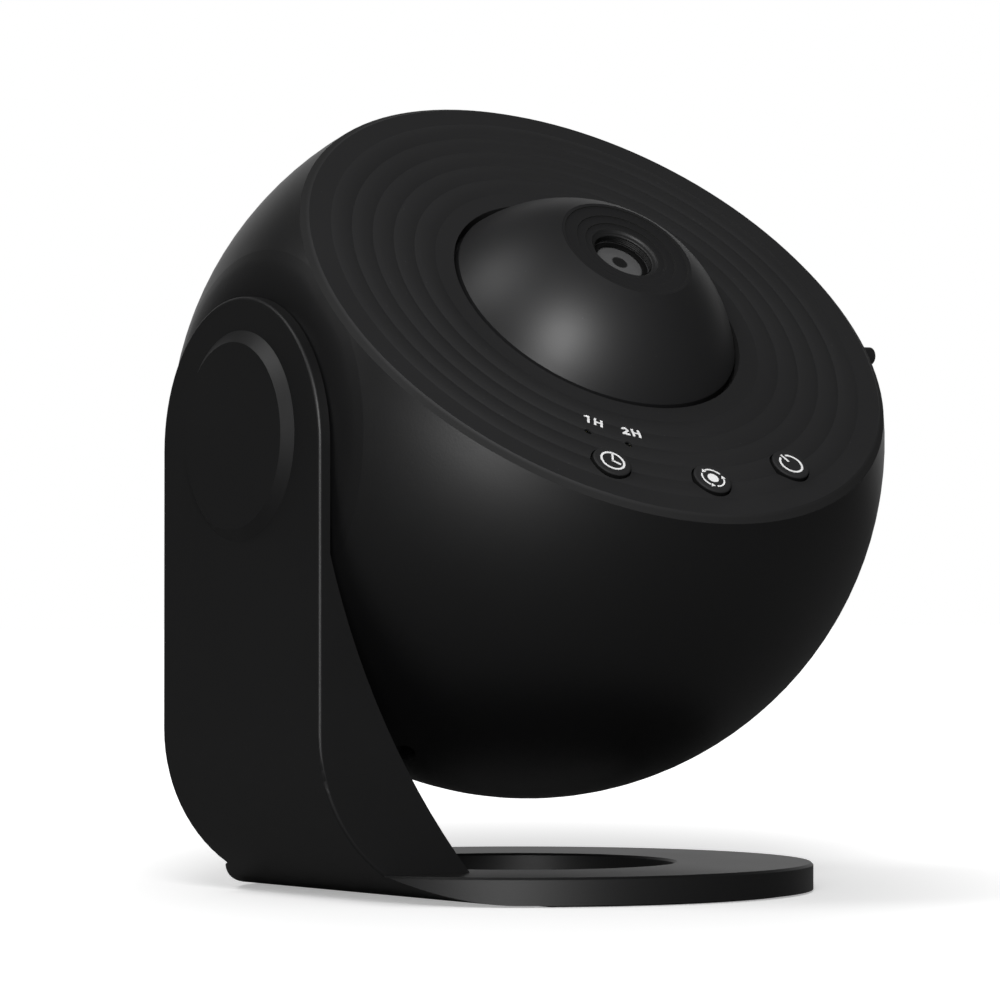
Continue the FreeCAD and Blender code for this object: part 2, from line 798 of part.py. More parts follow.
def motor_shaft():
    return disc(motor_shaft_radius, chassis_under - motor_shaft_depth, pinion_under + pinion_height,
                0, drive_distance)


def drive_motor():
    can = disc(motor_radius, chassis_under - motor_length, chassis_under, 0, drive_distance)
    boss = disc(motor_boss_radius, chassis_under, chassis_top, 0, drive_distance)
    half_span = motor_ear_span / 2
    half_width = motor_ear_width / 2
    ears = block((-half_span, half_span), (drive_distance - half_width, drive_distance + half_width),
                 (chassis_under - motor_ear_thickness, chassis_under))
    body = joined([can, boss, ears])
    bore = disc(motor_shaft_radius + running_gap, chassis_under - motor_shaft_depth - 1, chassis_top,
                0, drive_distance)
    body = body.cut(bore)
    for x in (-motor_screw_spacing / 2, motor_screw_spacing / 2):
        body = body.cut(disc(screw_shank, chassis_under - 1, chassis_under, x, drive_distance))
    return body


def motor_screws():
    under_head = chassis_under - motor_ear_thickness
    return group([screw_up(screw_head, screw_shank, under_head, chassis_thickness + motor_ear_thickness,
                           screw_head_height, x, drive_distance)
                  for x in (-motor_screw_spacing / 2, motor_screw_spacing / 2)])


# Lamp: emitter on its board, finned heat sink, housing with a funnel, condenser lens
def lamp_screw_circle():
    return (housing_radius + housing_foot) / 2


def lamp_angles():
    return (60, 180, 300)


def lamp_housing():
    foot_top = lamp_flange + housing_flange
    board_bore = lamp_board_radius + 0.2
    body = turned([(board_bore, lamp_flange), (housing_foot, lamp_flange), (housing_foot, foot_top),
                   (housing_radius, foot_top), (housing_radius, chassis_under - housing_flange),
                   (housing_rim, chassis_under - housing_flange), (housing_rim, chassis_under),
                   (light_bore, chassis_under), (light_bore, lens_seat),
                   (light_bore - lens_seat_width, lens_seat), (board_bore, foot_top)])
    holes = copies(disc(small_shank, chassis_under - housing_flange, chassis_under, housing_screw_circle()),
                   housing_angles())
    holes += copies(disc(small_shank, lamp_flange, foot_top, lamp_screw_circle()), lamp_angles())
    return body.cut(group(holes))


def housing_screws():
    one = screw_up(small_head, small_shank, chassis_under - housing_flange,
                   housing_flange + chassis_thickness, screw_head_height, housing_screw_circle())
    return group(copies(one, housing_angles()))


def lamp_screws():
    one = screw(small_head, small_shank, lamp_flange + housing_flange, housing_flange + sink_plate - 0.5,
                screw_head_height, lamp_screw_circle())
    return group(copies(one, lamp_angles()))


def condenser_lens():
    radius = light_bore - slide_gap
    rim = lens_seat + condenser_edge
    sphere = (radius ** 2 + condenser_crown ** 2) / (2 * condenser_crown)
    bulge = math.sqrt(sphere ** 2 - (radius / 2) ** 2) - (sphere - condenser_crown)
    return turned([(0, lens_seat), (radius, lens_seat), (radius, rim),
                   (radius / 2, rim + bulge, 0, rim + condenser_crown)])


def lamp_board():
    return disc(lamp_board_radius, lamp_flange, emitter_under)


def lamp_emitter():
    half = emitter_width / 2
    base = block((-half, half), (-half, half), (emitter_under, emitter_under + emitter_height))
    dome = Part.makeSphere(emitter_dome, Vector(0, 0, emitter_under + emitter_height))
    return base.fuse(dome.common(disc(half, emitter_under + emitter_height, emitter_under + 2 * emitter_dome)))


def heat_sink():
    fins = []
    rows = int((sink_radius - fin_thickness) // fin_pitch)
    for row in range(-rows, rows + 1):
        x = row * fin_pitch
        fins.append(block((x - fin_thickness / 2, x + fin_thickness / 2), (-sink_radius, sink_radius),
                          (sink_under - fin_depth, sink_under)))
    rounded = disc(sink_radius, sink_under - fin_depth, sink_under)
    pieces = [disc(sink_radius, sink_under, lamp_flange)]
    pieces += [fin.common(rounded) for fin in fins]
    holes = copies(disc(small_shank, sink_under + 0.5, lamp_flange, lamp_screw_circle()), lamp_angles())
    return joined(pieces).cut(group(holes))


# Buttons and their board
def button(angle):
    top = disc(button_radius, button_flange_top, button_top)
    edges = [edge for edge in top.Edges if abs(edge.CenterOfMass.z - button_top) < 1e-6]
    flange_under = button_flange_top - button_flange_height
    cap = joined([top.makeFillet(button_round, edges), disc(button_flange, flange_under, button_flange_top),
                  disc(button_stem, button_foot, flange_under)])
    x, y = polar(button_circle, angle)
    cap.rotate(centre, z_axis, angle + 90)
    cap.translate(Vector(x, y, 0))
    return cap


def timer_light_pipes():
    pipes = []
    for angle in light_angles:
        x, y = polar(light_circle, angle)
        pipes.append(disc(light_radius, control_board_top + light_chip_height(), face_top - 0.2, x, y))
    return group(pipes)


def light_chip_height():
    return light_radius


def timer_lights():
    chips = []
    chip = block((-light_radius, light_radius), (-light_radius / 2, light_radius / 2),
                 (control_board_top, control_board_top + light_chip_height()))
    for angle in light_angles:
        x, y = polar(light_circle, angle)
        one = chip.copy()
        one.rotate(centre, z_axis, angle + 90)
        one.translate(Vector(x, y, 0))
        chips.append(one)
    return group(chips)


def control_board():
    board = sector(control_board_outer, control_board_inner, control_board_top - board_thickness,
                   control_board_top, -90, control_board_sweep)
    for angle in control_screw_angles:
        x, y = polar(control_screw_circle, angle)
        board = board.cut(disc(small_shank, control_board_top - board_thickness, control_board_top, x, y))
    return board


def control_board_screws():
    screws = []
    for angle in control_screw_angles:
        x, y = polar(control_screw_circle, angle)
        screws.append(screw_up(small_head, small_shank, control_board_top - board_thickness,
                               board_thickness + screw_bite - 1, screw_head_height, x, y))
    return group(screws)


def button_switches():
    half = switch_width / 2
    body = block((-half, half), (-half, half), (control_board_top, switch_top))
    body = body.fuse(disc(plunger_radius, switch_top, switch_top + plunger_height))
    switches = []
    for angle in button_angles:
        x, y = polar(button_circle, angle)
        one = body.copy()
        one.rotate(centre, z_axis, angle + 90)
        one.translate(Vector(x, y, 0))
        switches.append(one)
    return group(switches)


# Main board
def main_board():
    half = main_board_width / 2
    board = block((-half, half), (main_board_near, main_board_far), (main_board_under, main_board_top))
    for x in (-main_post_x, main_post_x):
        for y in main_post_y:
            board = board.cut(disc(small_shank, main_board_under, main_board_top, x, y))
    return board


def main_board_screws():
    screws = []
    for x in (-main_post_x, main_post_x):
        for y in main_post_y:
            screws.append(screw_up(small_head, small_shank, main_board_under, board_thickness + screw_bite,
                                   screw_head_height, x, y))
    return group(screws)


# A box standing on the main board with its middle at x, y
def board_box(size, x, y):
    length, width, height = size
    return block((x - length / 2, x + length / 2), (y - width / 2, y + width / 2),
                 (main_board_top, main_board_top + height))


def main_board_parts():
    pieces = [board_box(controller_size, 0, controller_y), board_box(driver_size, *driver_at),
              board_box(coil_size, *coil_at)]
    for side in (-1, 1):
        pieces.append(disc(capacitor_radius, main_board_top, main_board_top + capacitor_height,
                           side * capacitor_x, main_board_far - capacitor_inset))
        pieces.append(board_box(plug_size, side * plug_x, main_board_near + plug_inset))
    return group(pieces)


def usb_socket():
    rear = socket_mouth - socket_length
    shell = obround(socket_width, socket_height, rear, socket_mouth, socket_centre)
    inner = obround(socket_width - 2 * socket_wall, socket_height - 2 * socket_wall, rear + 1, socket_mouth,
                    socket_centre)
    half = socket_width / 2 - socket_height / 2
    tongue = block((-half, half), (rear, socket_mouth - 1),
                   (socket_centre - tongue_thickness / 2, socket_centre + tongue_thickness / 2))
    return joined([shell.cut(inner), tongue])


# Tilt pivot, made about Z with the arm at negative Z, then laid along X
def pivot_bush():
    return along_x(tube(bush_outer, bush_radius, -arm_inner, -seat_inner).fuse(
        tube(bush_flange, bush_radius, -seat_inner, -bush_end)))


def friction_spring():
    inner = hub_radius + slide_gap + fit_gap
    return along_x(turned([(inner, -hub_end - spring_sheet), (inner, -hub_end),
                           (spring_outer, -bush_end + spring_sheet), (spring_outer, -bush_end)]))


def pivot_retainer():
    plate = tube(retainer_radius, hub_bore, -hub_end, -retainer_end)
    tab = sector(retainer_radius + stop_tab_reach, hub_bore + 1, -hub_end, -retainer_end, 0, 2 * stop_tab_half)
    body = joined([plate, tab])
    holes = copies(disc(small_shank, -hub_end, -retainer_end, retainer_screw_circle), retainer_angles())
    return along_x(body.cut(group(holes)))


def retainer_angles():
    return (60, 180, 300)


def retainer_screws():
    one = screw(small_head, small_shank, -retainer_end, retainer_thickness + screw_bite - 1,
                screw_head_height, retainer_screw_circle)
    return along_x(group(copies(one, retainer_angles())))


def pivot_cap():
    cap = turned([(0, -arm_outer - cap_height), (cap_top_radius, -arm_outer - cap_height),
                  (cap_radius, -arm_outer), (hub_bore - slide_gap, -arm_outer),
                  (hub_bore - slide_gap, -arm_outer + cap_plug_length), (0, -arm_outer + cap_plug_length)])
    return along_x(cap)


# Stand: the arm's side profile, trimmed to the arch, with the base ring
def side_view(steps):
    return outline(steps, lambda x, z: Vector(x, -arm_half_width, z))


def arm_arc():
    start = Vector(-arm_inner, 0, arm_break)
    belly = Vector(arm_belly[0], 0, arm_belly[1])
    end = Vector(-foot_reach, 0, ring_height)
    return Part.Arc(start, belly, end).toShape().Curve


def arm_solid():
    top = axis_height + arm_half_width
    diagonal = bend_radius * math.sqrt(0.5)
    profile = side_view([(-arm_outer, top), (-arm_outer, bend_centre),
                         (bend_x - diagonal, bend_centre - diagonal, bend_x, foot_gap),
                         (-foot_reach, foot_gap), (-foot_reach, ring_height),
                         (arm_belly[0], arm_belly[1], -arm_inner, arm_break), (-arm_inner, top)])
    body = profile.extrude(Vector(0, 2 * arm_half_width, 0))
    arch_centre = axis_height - arch_drop
    arch = joined([disc(arm_half_width, -arm_outer, 0),
                   block((0, arch_centre), (-arm_half_width, arm_half_width), (-arm_outer, 0))])
    arch = along_x(arch)
    arch.translate(Vector(0, 0, arch_centre))
    body = body.common(arch)
    return body.makeFillet(edge_round, [edge for edge in body.Edges if on_outer_outline(edge)])


# True for the edges round the arm's outer face and down both sides of the bend
def on_outer_outline(edge):
    for part in (0.1, 0.5, 0.9):
        low, high = edge.ParameterRange
        point = edge.valueAt(low + part * (high - low))
        on_face = abs(point.x + arm_outer) < 1e-4
        from_bend = math.hypot(point.x - bend_x, point.z - bend_centre)
        on_bend = abs(from_bend - bend_radius) < 1e-4 and point.z < bend_centre
        on_side = abs(abs(point.y) - arm_half_width) < 1e-4
        if not (on_face or (on_bend and on_side)):
            return False
    crosses = abs(edge.Vertexes[0].Y - edge.Vertexes[-1].Y) > arm_half_width and len(edge.Vertexes) > 1
    level = abs(edge.Vertexes[0].Z - edge.Vertexes[-1].Z) < 1e-6
    return not (crosses and level and edge.Vertexes[0].Z < axis_height / 2)


def arm_cavity():
    inner_wall = arm_outer - moulding_wall
    half = arm_half_width - moulding_wall
    upper = block((-inner_wall, 0), (-half, half), (bend_centre, cavity_high))
    lower = Part.makeCylinder(bend_radius - moulding_wall, 2 * half, Vector(bend_x, -half, bend_centre), y_axis)
    lower = lower.common(block((-arm_outer, 0), (-half, half), (cavity_low, bend_centre)))
    curve = arm_arc()
    beyond = Part.makeCylinder(curve.Radius, 2 * half, Vector(curve.Center.x, -half, curve.Center.z), y_axis)
    return joined([upper, lower]).cut(beyond)


def cover_band(thickness):
    curve = arm_arc()
    return Part.makeCylinder(curve.Radius + thickness, 2 * arm_half_width,
                             Vector(curve.Center.x, -arm_half_width, curve.Center.z), y_axis)


def arc_x(height):
    curve = arm_arc()
    rise = height - curve.Center.z
    return curve.Center.x - math.sqrt(curve.Radius ** 2 - rise ** 2)


def rod_x(radius, near, far, height):
    return Part.makeCylinder(radius, far - near, Vector(near, 0, height), x_axis)


# A flat ring about the base's own centre, cut off level with the arm's bend
def base_tube(outer, inner, low, high):
    return tube(outer, inner, low, high, ring_shift)


def base_ring():
    ring = base_tube(ring_radius, ring_bore, foot_gap, ring_height)
    top_edges = [edge for edge in ring.Edges if abs(edge.CenterOfMass.z - ring_height) < 1e-6
                 and len(edge.Vertexes) == 1]
    ring = ring.makeChamfer(ring_edge, top_edges)
    far = 2 * ring_radius
    roll = Part.makeCylinder(bend_radius, 2 * far, Vector(bend_x, -far, bend_centre), y_axis)
    corner = block((-far, bend_x), (-far, far), (0, bend_centre))
    return ring.cut(corner.cut(roll))


def stand():
    body = joined([arm_solid().cut(ball_clearance()), base_ring()])
    hub = tube(hub_radius, hub_bore, -arm_inner, -hub_end)
    hub = along_x(hub)
    hub.translate(Vector(0, 0, axis_height))
    body = body.fuse(hub)
    cavity = arm_cavity()
    bosses = []
    for height in cover_screw_heights:
        boss = rod_x(boss_radius, -arm_outer, 0, height).common(cavity).cut(cover_band(cover_thickness))
        bosses.append(boss)
    body = joined([body.cut(cavity)] + bosses)
    holes = [rod_x(screw_shank, arc_x(height) - cover_thickness - screw_bite, arc_x(height), height)
             for height in cover_screw_heights]
    bore = along_x(disc(hub_bore, -arm_outer, -hub_end))
    bore.translate(Vector(0, 0, axis_height))
    threads = along_x(group(copies(disc(small_shank, -hub_end - screw_bite, -hub_end, retainer_screw_circle),
                                   retainer_angles())))
    threads.translate(Vector(0, 0, axis_height))
    channel = base_tube(channel_outer, channel_inner, foot_gap, channel_top)
    channel = channel.common(block((channel_end, ring_radius), (-ring_radius, ring_radius), (0, ring_height)))
    return body.cut(group(holes)).cut(bore).cut(threads).cut(channel)


# The arm's inner side and its cover are dished to the ball's own shape.
def ball_clearance():
    return at_axis(seated_ball(ball_radius + arm_clearance, arm_inner))


def arm_cover():
    half = arm_half_width - moulding_wall - fit_gap
    inside = block((-arm_outer, 0), (-half, half), (cavity_low + fit_gap, cavity_high - fit_gap))
    cover = arm_cavity().common(cover_band(cover_thickness)).common(inside).cut(ball_clearance())
    for height in cover_screw_heights:
        seat = arc_x(height) - cover_thickness / 2 - 0.7
        cover = cover.cut(rod_x(screw_head + slide_gap, seat, 0, height))
        cover = cover.cut(rod_x(screw_shank, -arm_outer, 0, height))
    return cover


def arm_cover_screws():
    screws = []
    for height in cover_screw_heights:
        seat = arc_x(height) - cover_thickness / 2 - 0.7
        tip = arc_x(height) - cover_thickness - screw_bite
        screws.append(rod_x(screw_head, seat, seat + screw_head_height, height).fuse(
            rod_x(screw_shank, tip, seat, height)))
    return group(screws)


def base_layer(low, high):
    layer = base_tube(channel_outer - fit_gap, channel_inner + fit_gap, low, high)
    end = channel_end + fit_gap
    return layer.common(block((end, ring_radius), (-ring_radius, ring_radius), (low, high)))


def ballast():
    return base_layer(pad_thickness, channel_top)


def base_pad():
    return base_layer(0, pad_thickness)


# Parts of the ball are made with the lens axis along Z and the ball centre at the origin.
def in_ball(shape):
    placed = shape.copy()
    placed.rotate(centre, x_axis, rest_turn)
    placed.translate(Vector(0, 0, axis_height))
    return placed


# The retainer's tab hangs straight down, at the stand's own angle.
def at_axis(shape):
    placed = shape.copy()
    placed.translate(Vector(0, 0, axis_height))
    return placed


ball_nodes = {
    "ball_casing": ball_casing, "face_panel": face_panel, "chassis_plate": chassis,
    "panel_screws": panel_screws, "casing_screws": casing_screws, "pivot_bush": pivot_bush,
    "lens_dome": lens_dome, "lens_barrel": lens_barrel, "front_lens": front_lens,
    "lens_retaining_ring": lens_retaining_ring, "rear_lens": rear_lens, "rear_lens_ring": rear_lens_ring,
    "focus_ring": focus_ring, "focus_knob": focus_knob, "film_stage": film_stage,
    "follower_pins": follower_pins, "film_turntable": film_turntable, "film_frame": film_frame,
    "film_slide": film_slide, "drive_motor": drive_motor, "motor_screws": motor_screws,
    "motor_shaft": motor_shaft, "motor_pinion": motor_pinion, "lamp_housing": lamp_housing,
    "housing_screws": housing_screws, "lamp_screws": lamp_screws, "condenser_lens": condenser_lens,
    "lamp_board": lamp_board, "lamp_emitter": lamp_emitter, "heat_sink": heat_sink,
    "control_board": control_board, "control_board_screws": control_board_screws,
    "button_switches": button_switches, "timer_lights": timer_lights,
    "timer_light_pipes": timer_light_pipes, "main_board": main_board,
    "main_board_screws": main_board_screws, "main_board_parts": main_board_parts,
    "usb_socket": usb_socket,
}
axis_nodes = {
    "friction_spring": friction_spring, "pivot_retainer": pivot_retainer,
    "retainer_screws": retainer_screws, "pivot_cap": pivot_cap,
}
stand_nodes = {
    "stand_bracket": stand, "arm_cover": arm_cover, "arm_cover_screws": arm_cover_screws,
    "ballast_plate": ballast, "base_pad": base_pad,
}

parts = {name: in_ball(make()) for name, make in ball_nodes.items()}
for name, angle in zip(("timer_button", "rotate_button", "power_button"), button_angles):
    parts[name] = in_ball(button(angle))
parts.update({name: at_axis(make()) for name, make in axis_nodes.items()})
parts.update({name: make() for name, make in stand_nodes.items()})

# The frame's origin is the centre of the base ring's hole, on the table.
os.makedirs("parts", exist_ok=True)
for name, shape in parts.items():
    shape.translate(Vector(-ring_shift, 0, 0))
    shape.exportStep("parts/" + name + ".step")
    verdict = "valid" if shape.isValid() else "INVALID"
    print(name, len(shape.Solids), "solids", round(shape.Volume, 1), "mm3", verdict)
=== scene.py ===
import bpy
import bmesh
import json
import math
from mathutils import Matrix, Vector


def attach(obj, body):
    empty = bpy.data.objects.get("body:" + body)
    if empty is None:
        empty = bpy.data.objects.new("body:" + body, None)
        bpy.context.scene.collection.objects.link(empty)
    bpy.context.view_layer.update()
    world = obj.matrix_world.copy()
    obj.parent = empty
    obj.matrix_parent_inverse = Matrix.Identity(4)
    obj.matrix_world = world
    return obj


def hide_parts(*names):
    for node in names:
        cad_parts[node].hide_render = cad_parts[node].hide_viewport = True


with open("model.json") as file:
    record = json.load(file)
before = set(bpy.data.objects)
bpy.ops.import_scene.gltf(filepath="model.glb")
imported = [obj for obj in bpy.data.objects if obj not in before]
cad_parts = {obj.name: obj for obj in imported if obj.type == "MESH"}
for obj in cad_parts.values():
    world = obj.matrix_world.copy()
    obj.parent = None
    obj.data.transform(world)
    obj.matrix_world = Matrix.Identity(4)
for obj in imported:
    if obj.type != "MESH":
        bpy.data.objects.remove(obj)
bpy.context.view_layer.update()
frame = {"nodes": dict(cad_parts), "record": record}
nodes = frame["nodes"]
view = bpy.context.scene.view_settings
view.view_transform = "Standard"
mm = 0.001

# The ball's own frame: its Z is the lens axis, its X the tilt axis
joints = {joint["name"]: joint for joint in frame["record"]["behaviour"]["joints"]}
lensAxis = Vector(joints["dome_twist"]["axis"])
ballCentre = Vector(joints["ball_tilt"]["pos_m"])
ballFrame = Matrix.Translation(ballCentre) @ Matrix.Rotation(math.atan2(-lensAxis.y, lensAxis.z), 4, "X")


def ballBox(name):
    # a node's lowest and highest corners in the ball's own frame
    back = ballFrame.inverted()
    spots = [back @ vertex.co for vertex in nodes[name].data.vertices]
    low = Vector([min(spot[axis] for spot in spots) for axis in range(3)])
    high = Vector([max(spot[axis] for spot in spots) for axis in range(3)])
    return low, high


def onFace(radius, turn, height):
    # right, up (towards the dome) and outwards at one place of the face
    spot = Vector((radius * math.cos(turn), radius * math.sin(turn), height))
    return Matrix.Translation(spot) @ Matrix.Rotation(turn + math.pi / 2, 4, "Z")


def onButton(name):
    low, high = ballBox(name)
    middle = (low + high) / 2
    return ballFrame @ onFace(math.hypot(middle.x, middle.y), math.atan2(middle.y, middle.x), high.z)


def finishPiece(name, bm, place, material, body, smooth=False):
    bmesh.ops.transform(bm, matrix=place, verts=bm.verts)
    bmesh.ops.remove_doubles(bm, verts=bm.verts, dist=1e-6)
    bmesh.ops.recalc_face_normals(bm, faces=bm.faces)
    mesh = bpy.data.meshes.new(name)
    for face in bm.faces:
        face.smooth = smooth
    bm.to_mesh(mesh)
    bm.free()
    mesh.materials.append(material)
    piece = bpy.data.objects.new(name, mesh)
    bpy.context.scene.collection.objects.link(piece)
    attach(piece, body)
    return piece


def arcStrip(bm, radius, stroke, start, sweep, steps):
    # a flat band along part of a circle; start 0 is up, turning clockwise
    turn = math.radians(90 - start)
    way = Vector((math.cos(turn), math.sin(turn), 0))
    inner = bm.verts.new(way * (radius - stroke / 2) * mm)
    outer = bm.verts.new(way * (radius + stroke / 2) * mm)
    edge = bm.edges.new((inner, outer))
    bmesh.ops.spin(bm, geom=[inner, outer, edge], cent=(0, 0, 0), axis=(0, 0, 1),
                   angle=-math.radians(sweep), steps=steps, use_merge=sweep == 360)


def turnProfile(outline, segments, closed=False):
    # revolves a profile of (radius, height) pairs, in millimetres, about the lens axis
    bm = bmesh.new()
    spots = [bm.verts.new(Vector((out, 0, up)) * mm) for out, up in outline]
    pairs = list(zip(spots, spots[1:]))
    if closed:
        pairs.append((spots[-1], spots[0]))
    edges = [bm.edges.new(pair) for pair in pairs]
    bmesh.ops.spin(bm, geom=spots + edges, cent=(0, 0, 0), axis=(0, 0, 1), angle=2 * math.pi,
                   steps=segments, use_merge=True)
    return bm


def strokeBar(bm, x, y, width, height, turn=0.0):
    made = bmesh.ops.create_grid(bm, x_segments=1, y_segments=1, size=0.5)
    place = (Matrix.Translation((x * mm, y * mm, 0)) @ Matrix.Rotation(math.radians(-turn), 4, "Z")
             @ Matrix.Diagonal((width * mm, height * mm, 1, 1)))
    bmesh.ops.transform(bm, matrix=place, verts=made["verts"])


def inkUp(bm, thickness):
    # turns the flat shapes into a thin raised print
    flat = bm.faces[:]
    bmesh.ops.recalc_face_normals(bm, faces=flat)
    for face in flat:
        if face.normal.z < 0:
            face.normal_flip()
    raised = bmesh.ops.extrude_face_region(bm, geom=flat, use_keep_orig=True)
    top = [part for part in raised["geom"] if isinstance(part, bmesh.types.BMVert)]
    bmesh.ops.translate(bm, verts=top, vec=(0, 0, thickness * mm))


def newGroup(name, inputs, outputs):
    group = bpy.data.node_groups.new(name, "ShaderNodeTree")
    for label, value in inputs:
        socket = group.interface.new_socket(label, in_out="INPUT", socket_type="NodeSocketFloat")
        socket.default_value = value
    for label in outputs:
        group.interface.new_socket(label, in_out="OUTPUT", socket_type="NodeSocketFloat")
    inside = group.nodes
    return group, inside.new("NodeGroupInput"), inside.new("NodeGroupOutput")


def addMath(tree, operation, first, second=None):
    node = tree.nodes.new("ShaderNodeMath")
    node.operation = operation
    for socket, value in zip(node.inputs, (first, second)):
        if value is None:
            continue
        if isinstance(value, (int, float)):
            socket.default_value = value
        else:
            tree.links.new(value, socket)
    return node.outputs[0]


def addNoise(tree, scale, detail, stretch=(1, 1, 1)):
    place = tree.nodes.new("ShaderNodeTexCoord")
    mapping = tree.nodes.new("ShaderNodeMapping")
    mapping.inputs["Scale"].default_value = stretch
    tree.links.new(place.outputs["Object"], mapping.inputs["Vector"])
    noise = tree.nodes.new("ShaderNodeTexNoise")
    noise.inputs["Detail"].default_value = detail
    tree.links.new(mapping.outputs[0], noise.inputs["Vector"])
    if isinstance(scale, (int, float)):
        noise.inputs["Scale"].default_value = scale
    else:
        tree.links.new(scale, noise.inputs["Scale"])
    return noise.outputs["Fac"]


grainPlan = {"broad": 38.0, "middle": 260.0, "middleShare": 0.35, "speckle": 0.05, "patches": 0.16,
             "fineTone": 0.1, "base": 0.87, "strength": 0.6, "fleck": 3}


# Spark-eroded grain of a moulded part: a height, a slowly drifting roughness and a patchy tone
def makeGrain():
    settings = [("Grain Scale", 2200.0), ("Roughness", 0.5), ("Drift", 0.06)]
    group, given, result = newGroup("mouldedGrain", settings, ["Height", "Roughness", "Tone"])
    fine = addNoise(group, given.outputs["Grain Scale"], 3.0)
    broad = addNoise(group, grainPlan["broad"], 4.0)
    middle = addNoise(group, grainPlan["middle"], 2.0)
    mixed = addMath(group, "ADD", fine, addMath(group, "MULTIPLY", middle, grainPlan["middleShare"]))
    swing = addMath(group, "MULTIPLY", addMath(group, "SUBTRACT", broad, 0.5), given.outputs["Drift"])
    speckle = addMath(group, "MULTIPLY", addMath(group, "SUBTRACT", fine, 0.5), grainPlan["speckle"])
    rough = addMath(group, "ADD", addMath(group, "ADD", given.outputs["Roughness"], swing), speckle)
    patches = addMath(group, "MULTIPLY", broad, grainPlan["patches"])
    tone = addMath(group, "ADD", patches, addMath(group, "MULTIPLY", fine, grainPlan["fineTone"]))
    group.links.new(mixed, result.inputs["Height"])
    group.links.new(rough, result.inputs["Roughness"])
    group.links.new(addMath(group, "ADD", tone, grainPlan["base"]), result.inputs["Tone"])
    return group


# A few light dust flecks that settle on handled plastic
def makeDust():
    settings = [("Density", 0.5), ("Size", 900.0), ("Reach", 0.12)]
    group, given, result = newGroup("settledDust", settings, ["Mask"])
    place = group.nodes.new("ShaderNodeTexCoord")
    cells = group.nodes.new("ShaderNodeTexVoronoi")
    group.links.new(place.outputs["Object"], cells.inputs["Vector"])
    group.links.new(given.outputs["Size"], cells.inputs["Scale"])
    speck = addMath(group, "LESS_THAN", cells.outputs["Distance"], given.outputs["Reach"])
    chance = group.nodes.new("ShaderNodeSeparateColor")
    group.links.new(cells.outputs["Color"], chance.inputs[0])
    limit = addMath(group, "SUBTRACT", 1.0, given.outputs["Density"])
    rare = addMath(group, "GREATER_THAN", chance.outputs[0], limit)
    group.links.new(addMath(group, "MULTIPLY", speck, rare), result.inputs["Mask"])
    return group


# Distance from the lens axis and height along it, in millimetres
def makeTurned():
    group, _, result = newGroup("turnedPlace", [], ["Radius", "Height"])
    place = group.nodes.new("ShaderNodeTexCoord")
    centred = group.nodes.new("ShaderNodeMapping")
    centred.vector_type = "TEXTURE"
    centred.inputs["Location"].default_value = ballFrame.to_translation()
    centred.inputs["Rotation"].default_value = ballFrame.to_euler("XYZ")
    centred.inputs["Scale"].default_value = (mm, mm, mm)
    group.links.new(place.outputs["Object"], centred.inputs["Vector"])
    parts = group.nodes.new("ShaderNodeSeparateXYZ")
    group.links.new(centred.outputs[0], parts.inputs[0])
    squares = [addMath(group, "MULTIPLY", parts.outputs[axis], parts.outputs[axis]) for axis in ("X", "Y")]
    group.links.new(addMath(group, "SQRT", addMath(group, "ADD", *squares)), result.inputs["Radius"])
    group.links.new(parts.outputs["Z"], result.inputs["Height"])
    return group


grainGroup = makeGrain()
dustGroup = makeDust()
turnedGroup = makeTurned()


def newMaterial(name):
    material = bpy.data.materials.new(name)
    material.use_nodes = True
    tree = material.node_tree
    return material, tree, tree.nodes["Principled BSDF"]


def tintedBy(tree, factor, colour):
    mix = tree.nodes.new("ShaderNodeMix")
    mix.data_type = "RGBA"
    mix.blend_type = "MULTIPLY"
    mix.inputs["Factor"].default_value = 1.0
    mix.inputs["A"].default_value = (*colour, 1)
    tree.links.new(factor, mix.inputs["B"])
    return mix.outputs["Result"]


def turnedPlace(tree, measure):
    # measure is "Radius" or "Height"
    group = tree.nodes.new("ShaderNodeGroup")
    group.node_tree = turnedGroup
    return group.outputs[measure]


def softStep(tree, value, start, end):
    # 0 at start and before it, 1 from end on
    step = tree.nodes.new("ShaderNodeMapRange")
    step.interpolation_type = "SMOOTHSTEP"
    step.inputs["From Min"].default_value = start
    step.inputs["From Max"].default_value = end
    tree.links.new(value, step.inputs["Value"])
    return step.outputs["Result"]


def finishWhere(tree, shader, mask, colour, rough):
    # where the mask is 1 the surface takes this colour and roughness
    tone = tree.nodes.new("ShaderNodeMix")
    tone.data_type = "RGBA"
    tone.inputs["B"].default_value = (*colour, 1)
    tree.links.new(mask, tone.inputs["Factor"])
    tree.links.new(shader.inputs["Base Color"].links[0].from_socket, tone.inputs["A"])
    tree.links.new(tone.outputs["Result"], shader.inputs["Base Color"])
    dull = tree.nodes.new("ShaderNodeMix")
    dull.inputs["B"].default_value = rough
    tree.links.new(mask, dull.inputs["Factor"])
    tree.links.new(shader.inputs["Roughness"].links[0].from_socket, dull.inputs["A"])
    tree.links.new(dull.outputs["Result"], shader.inputs["Roughness"])


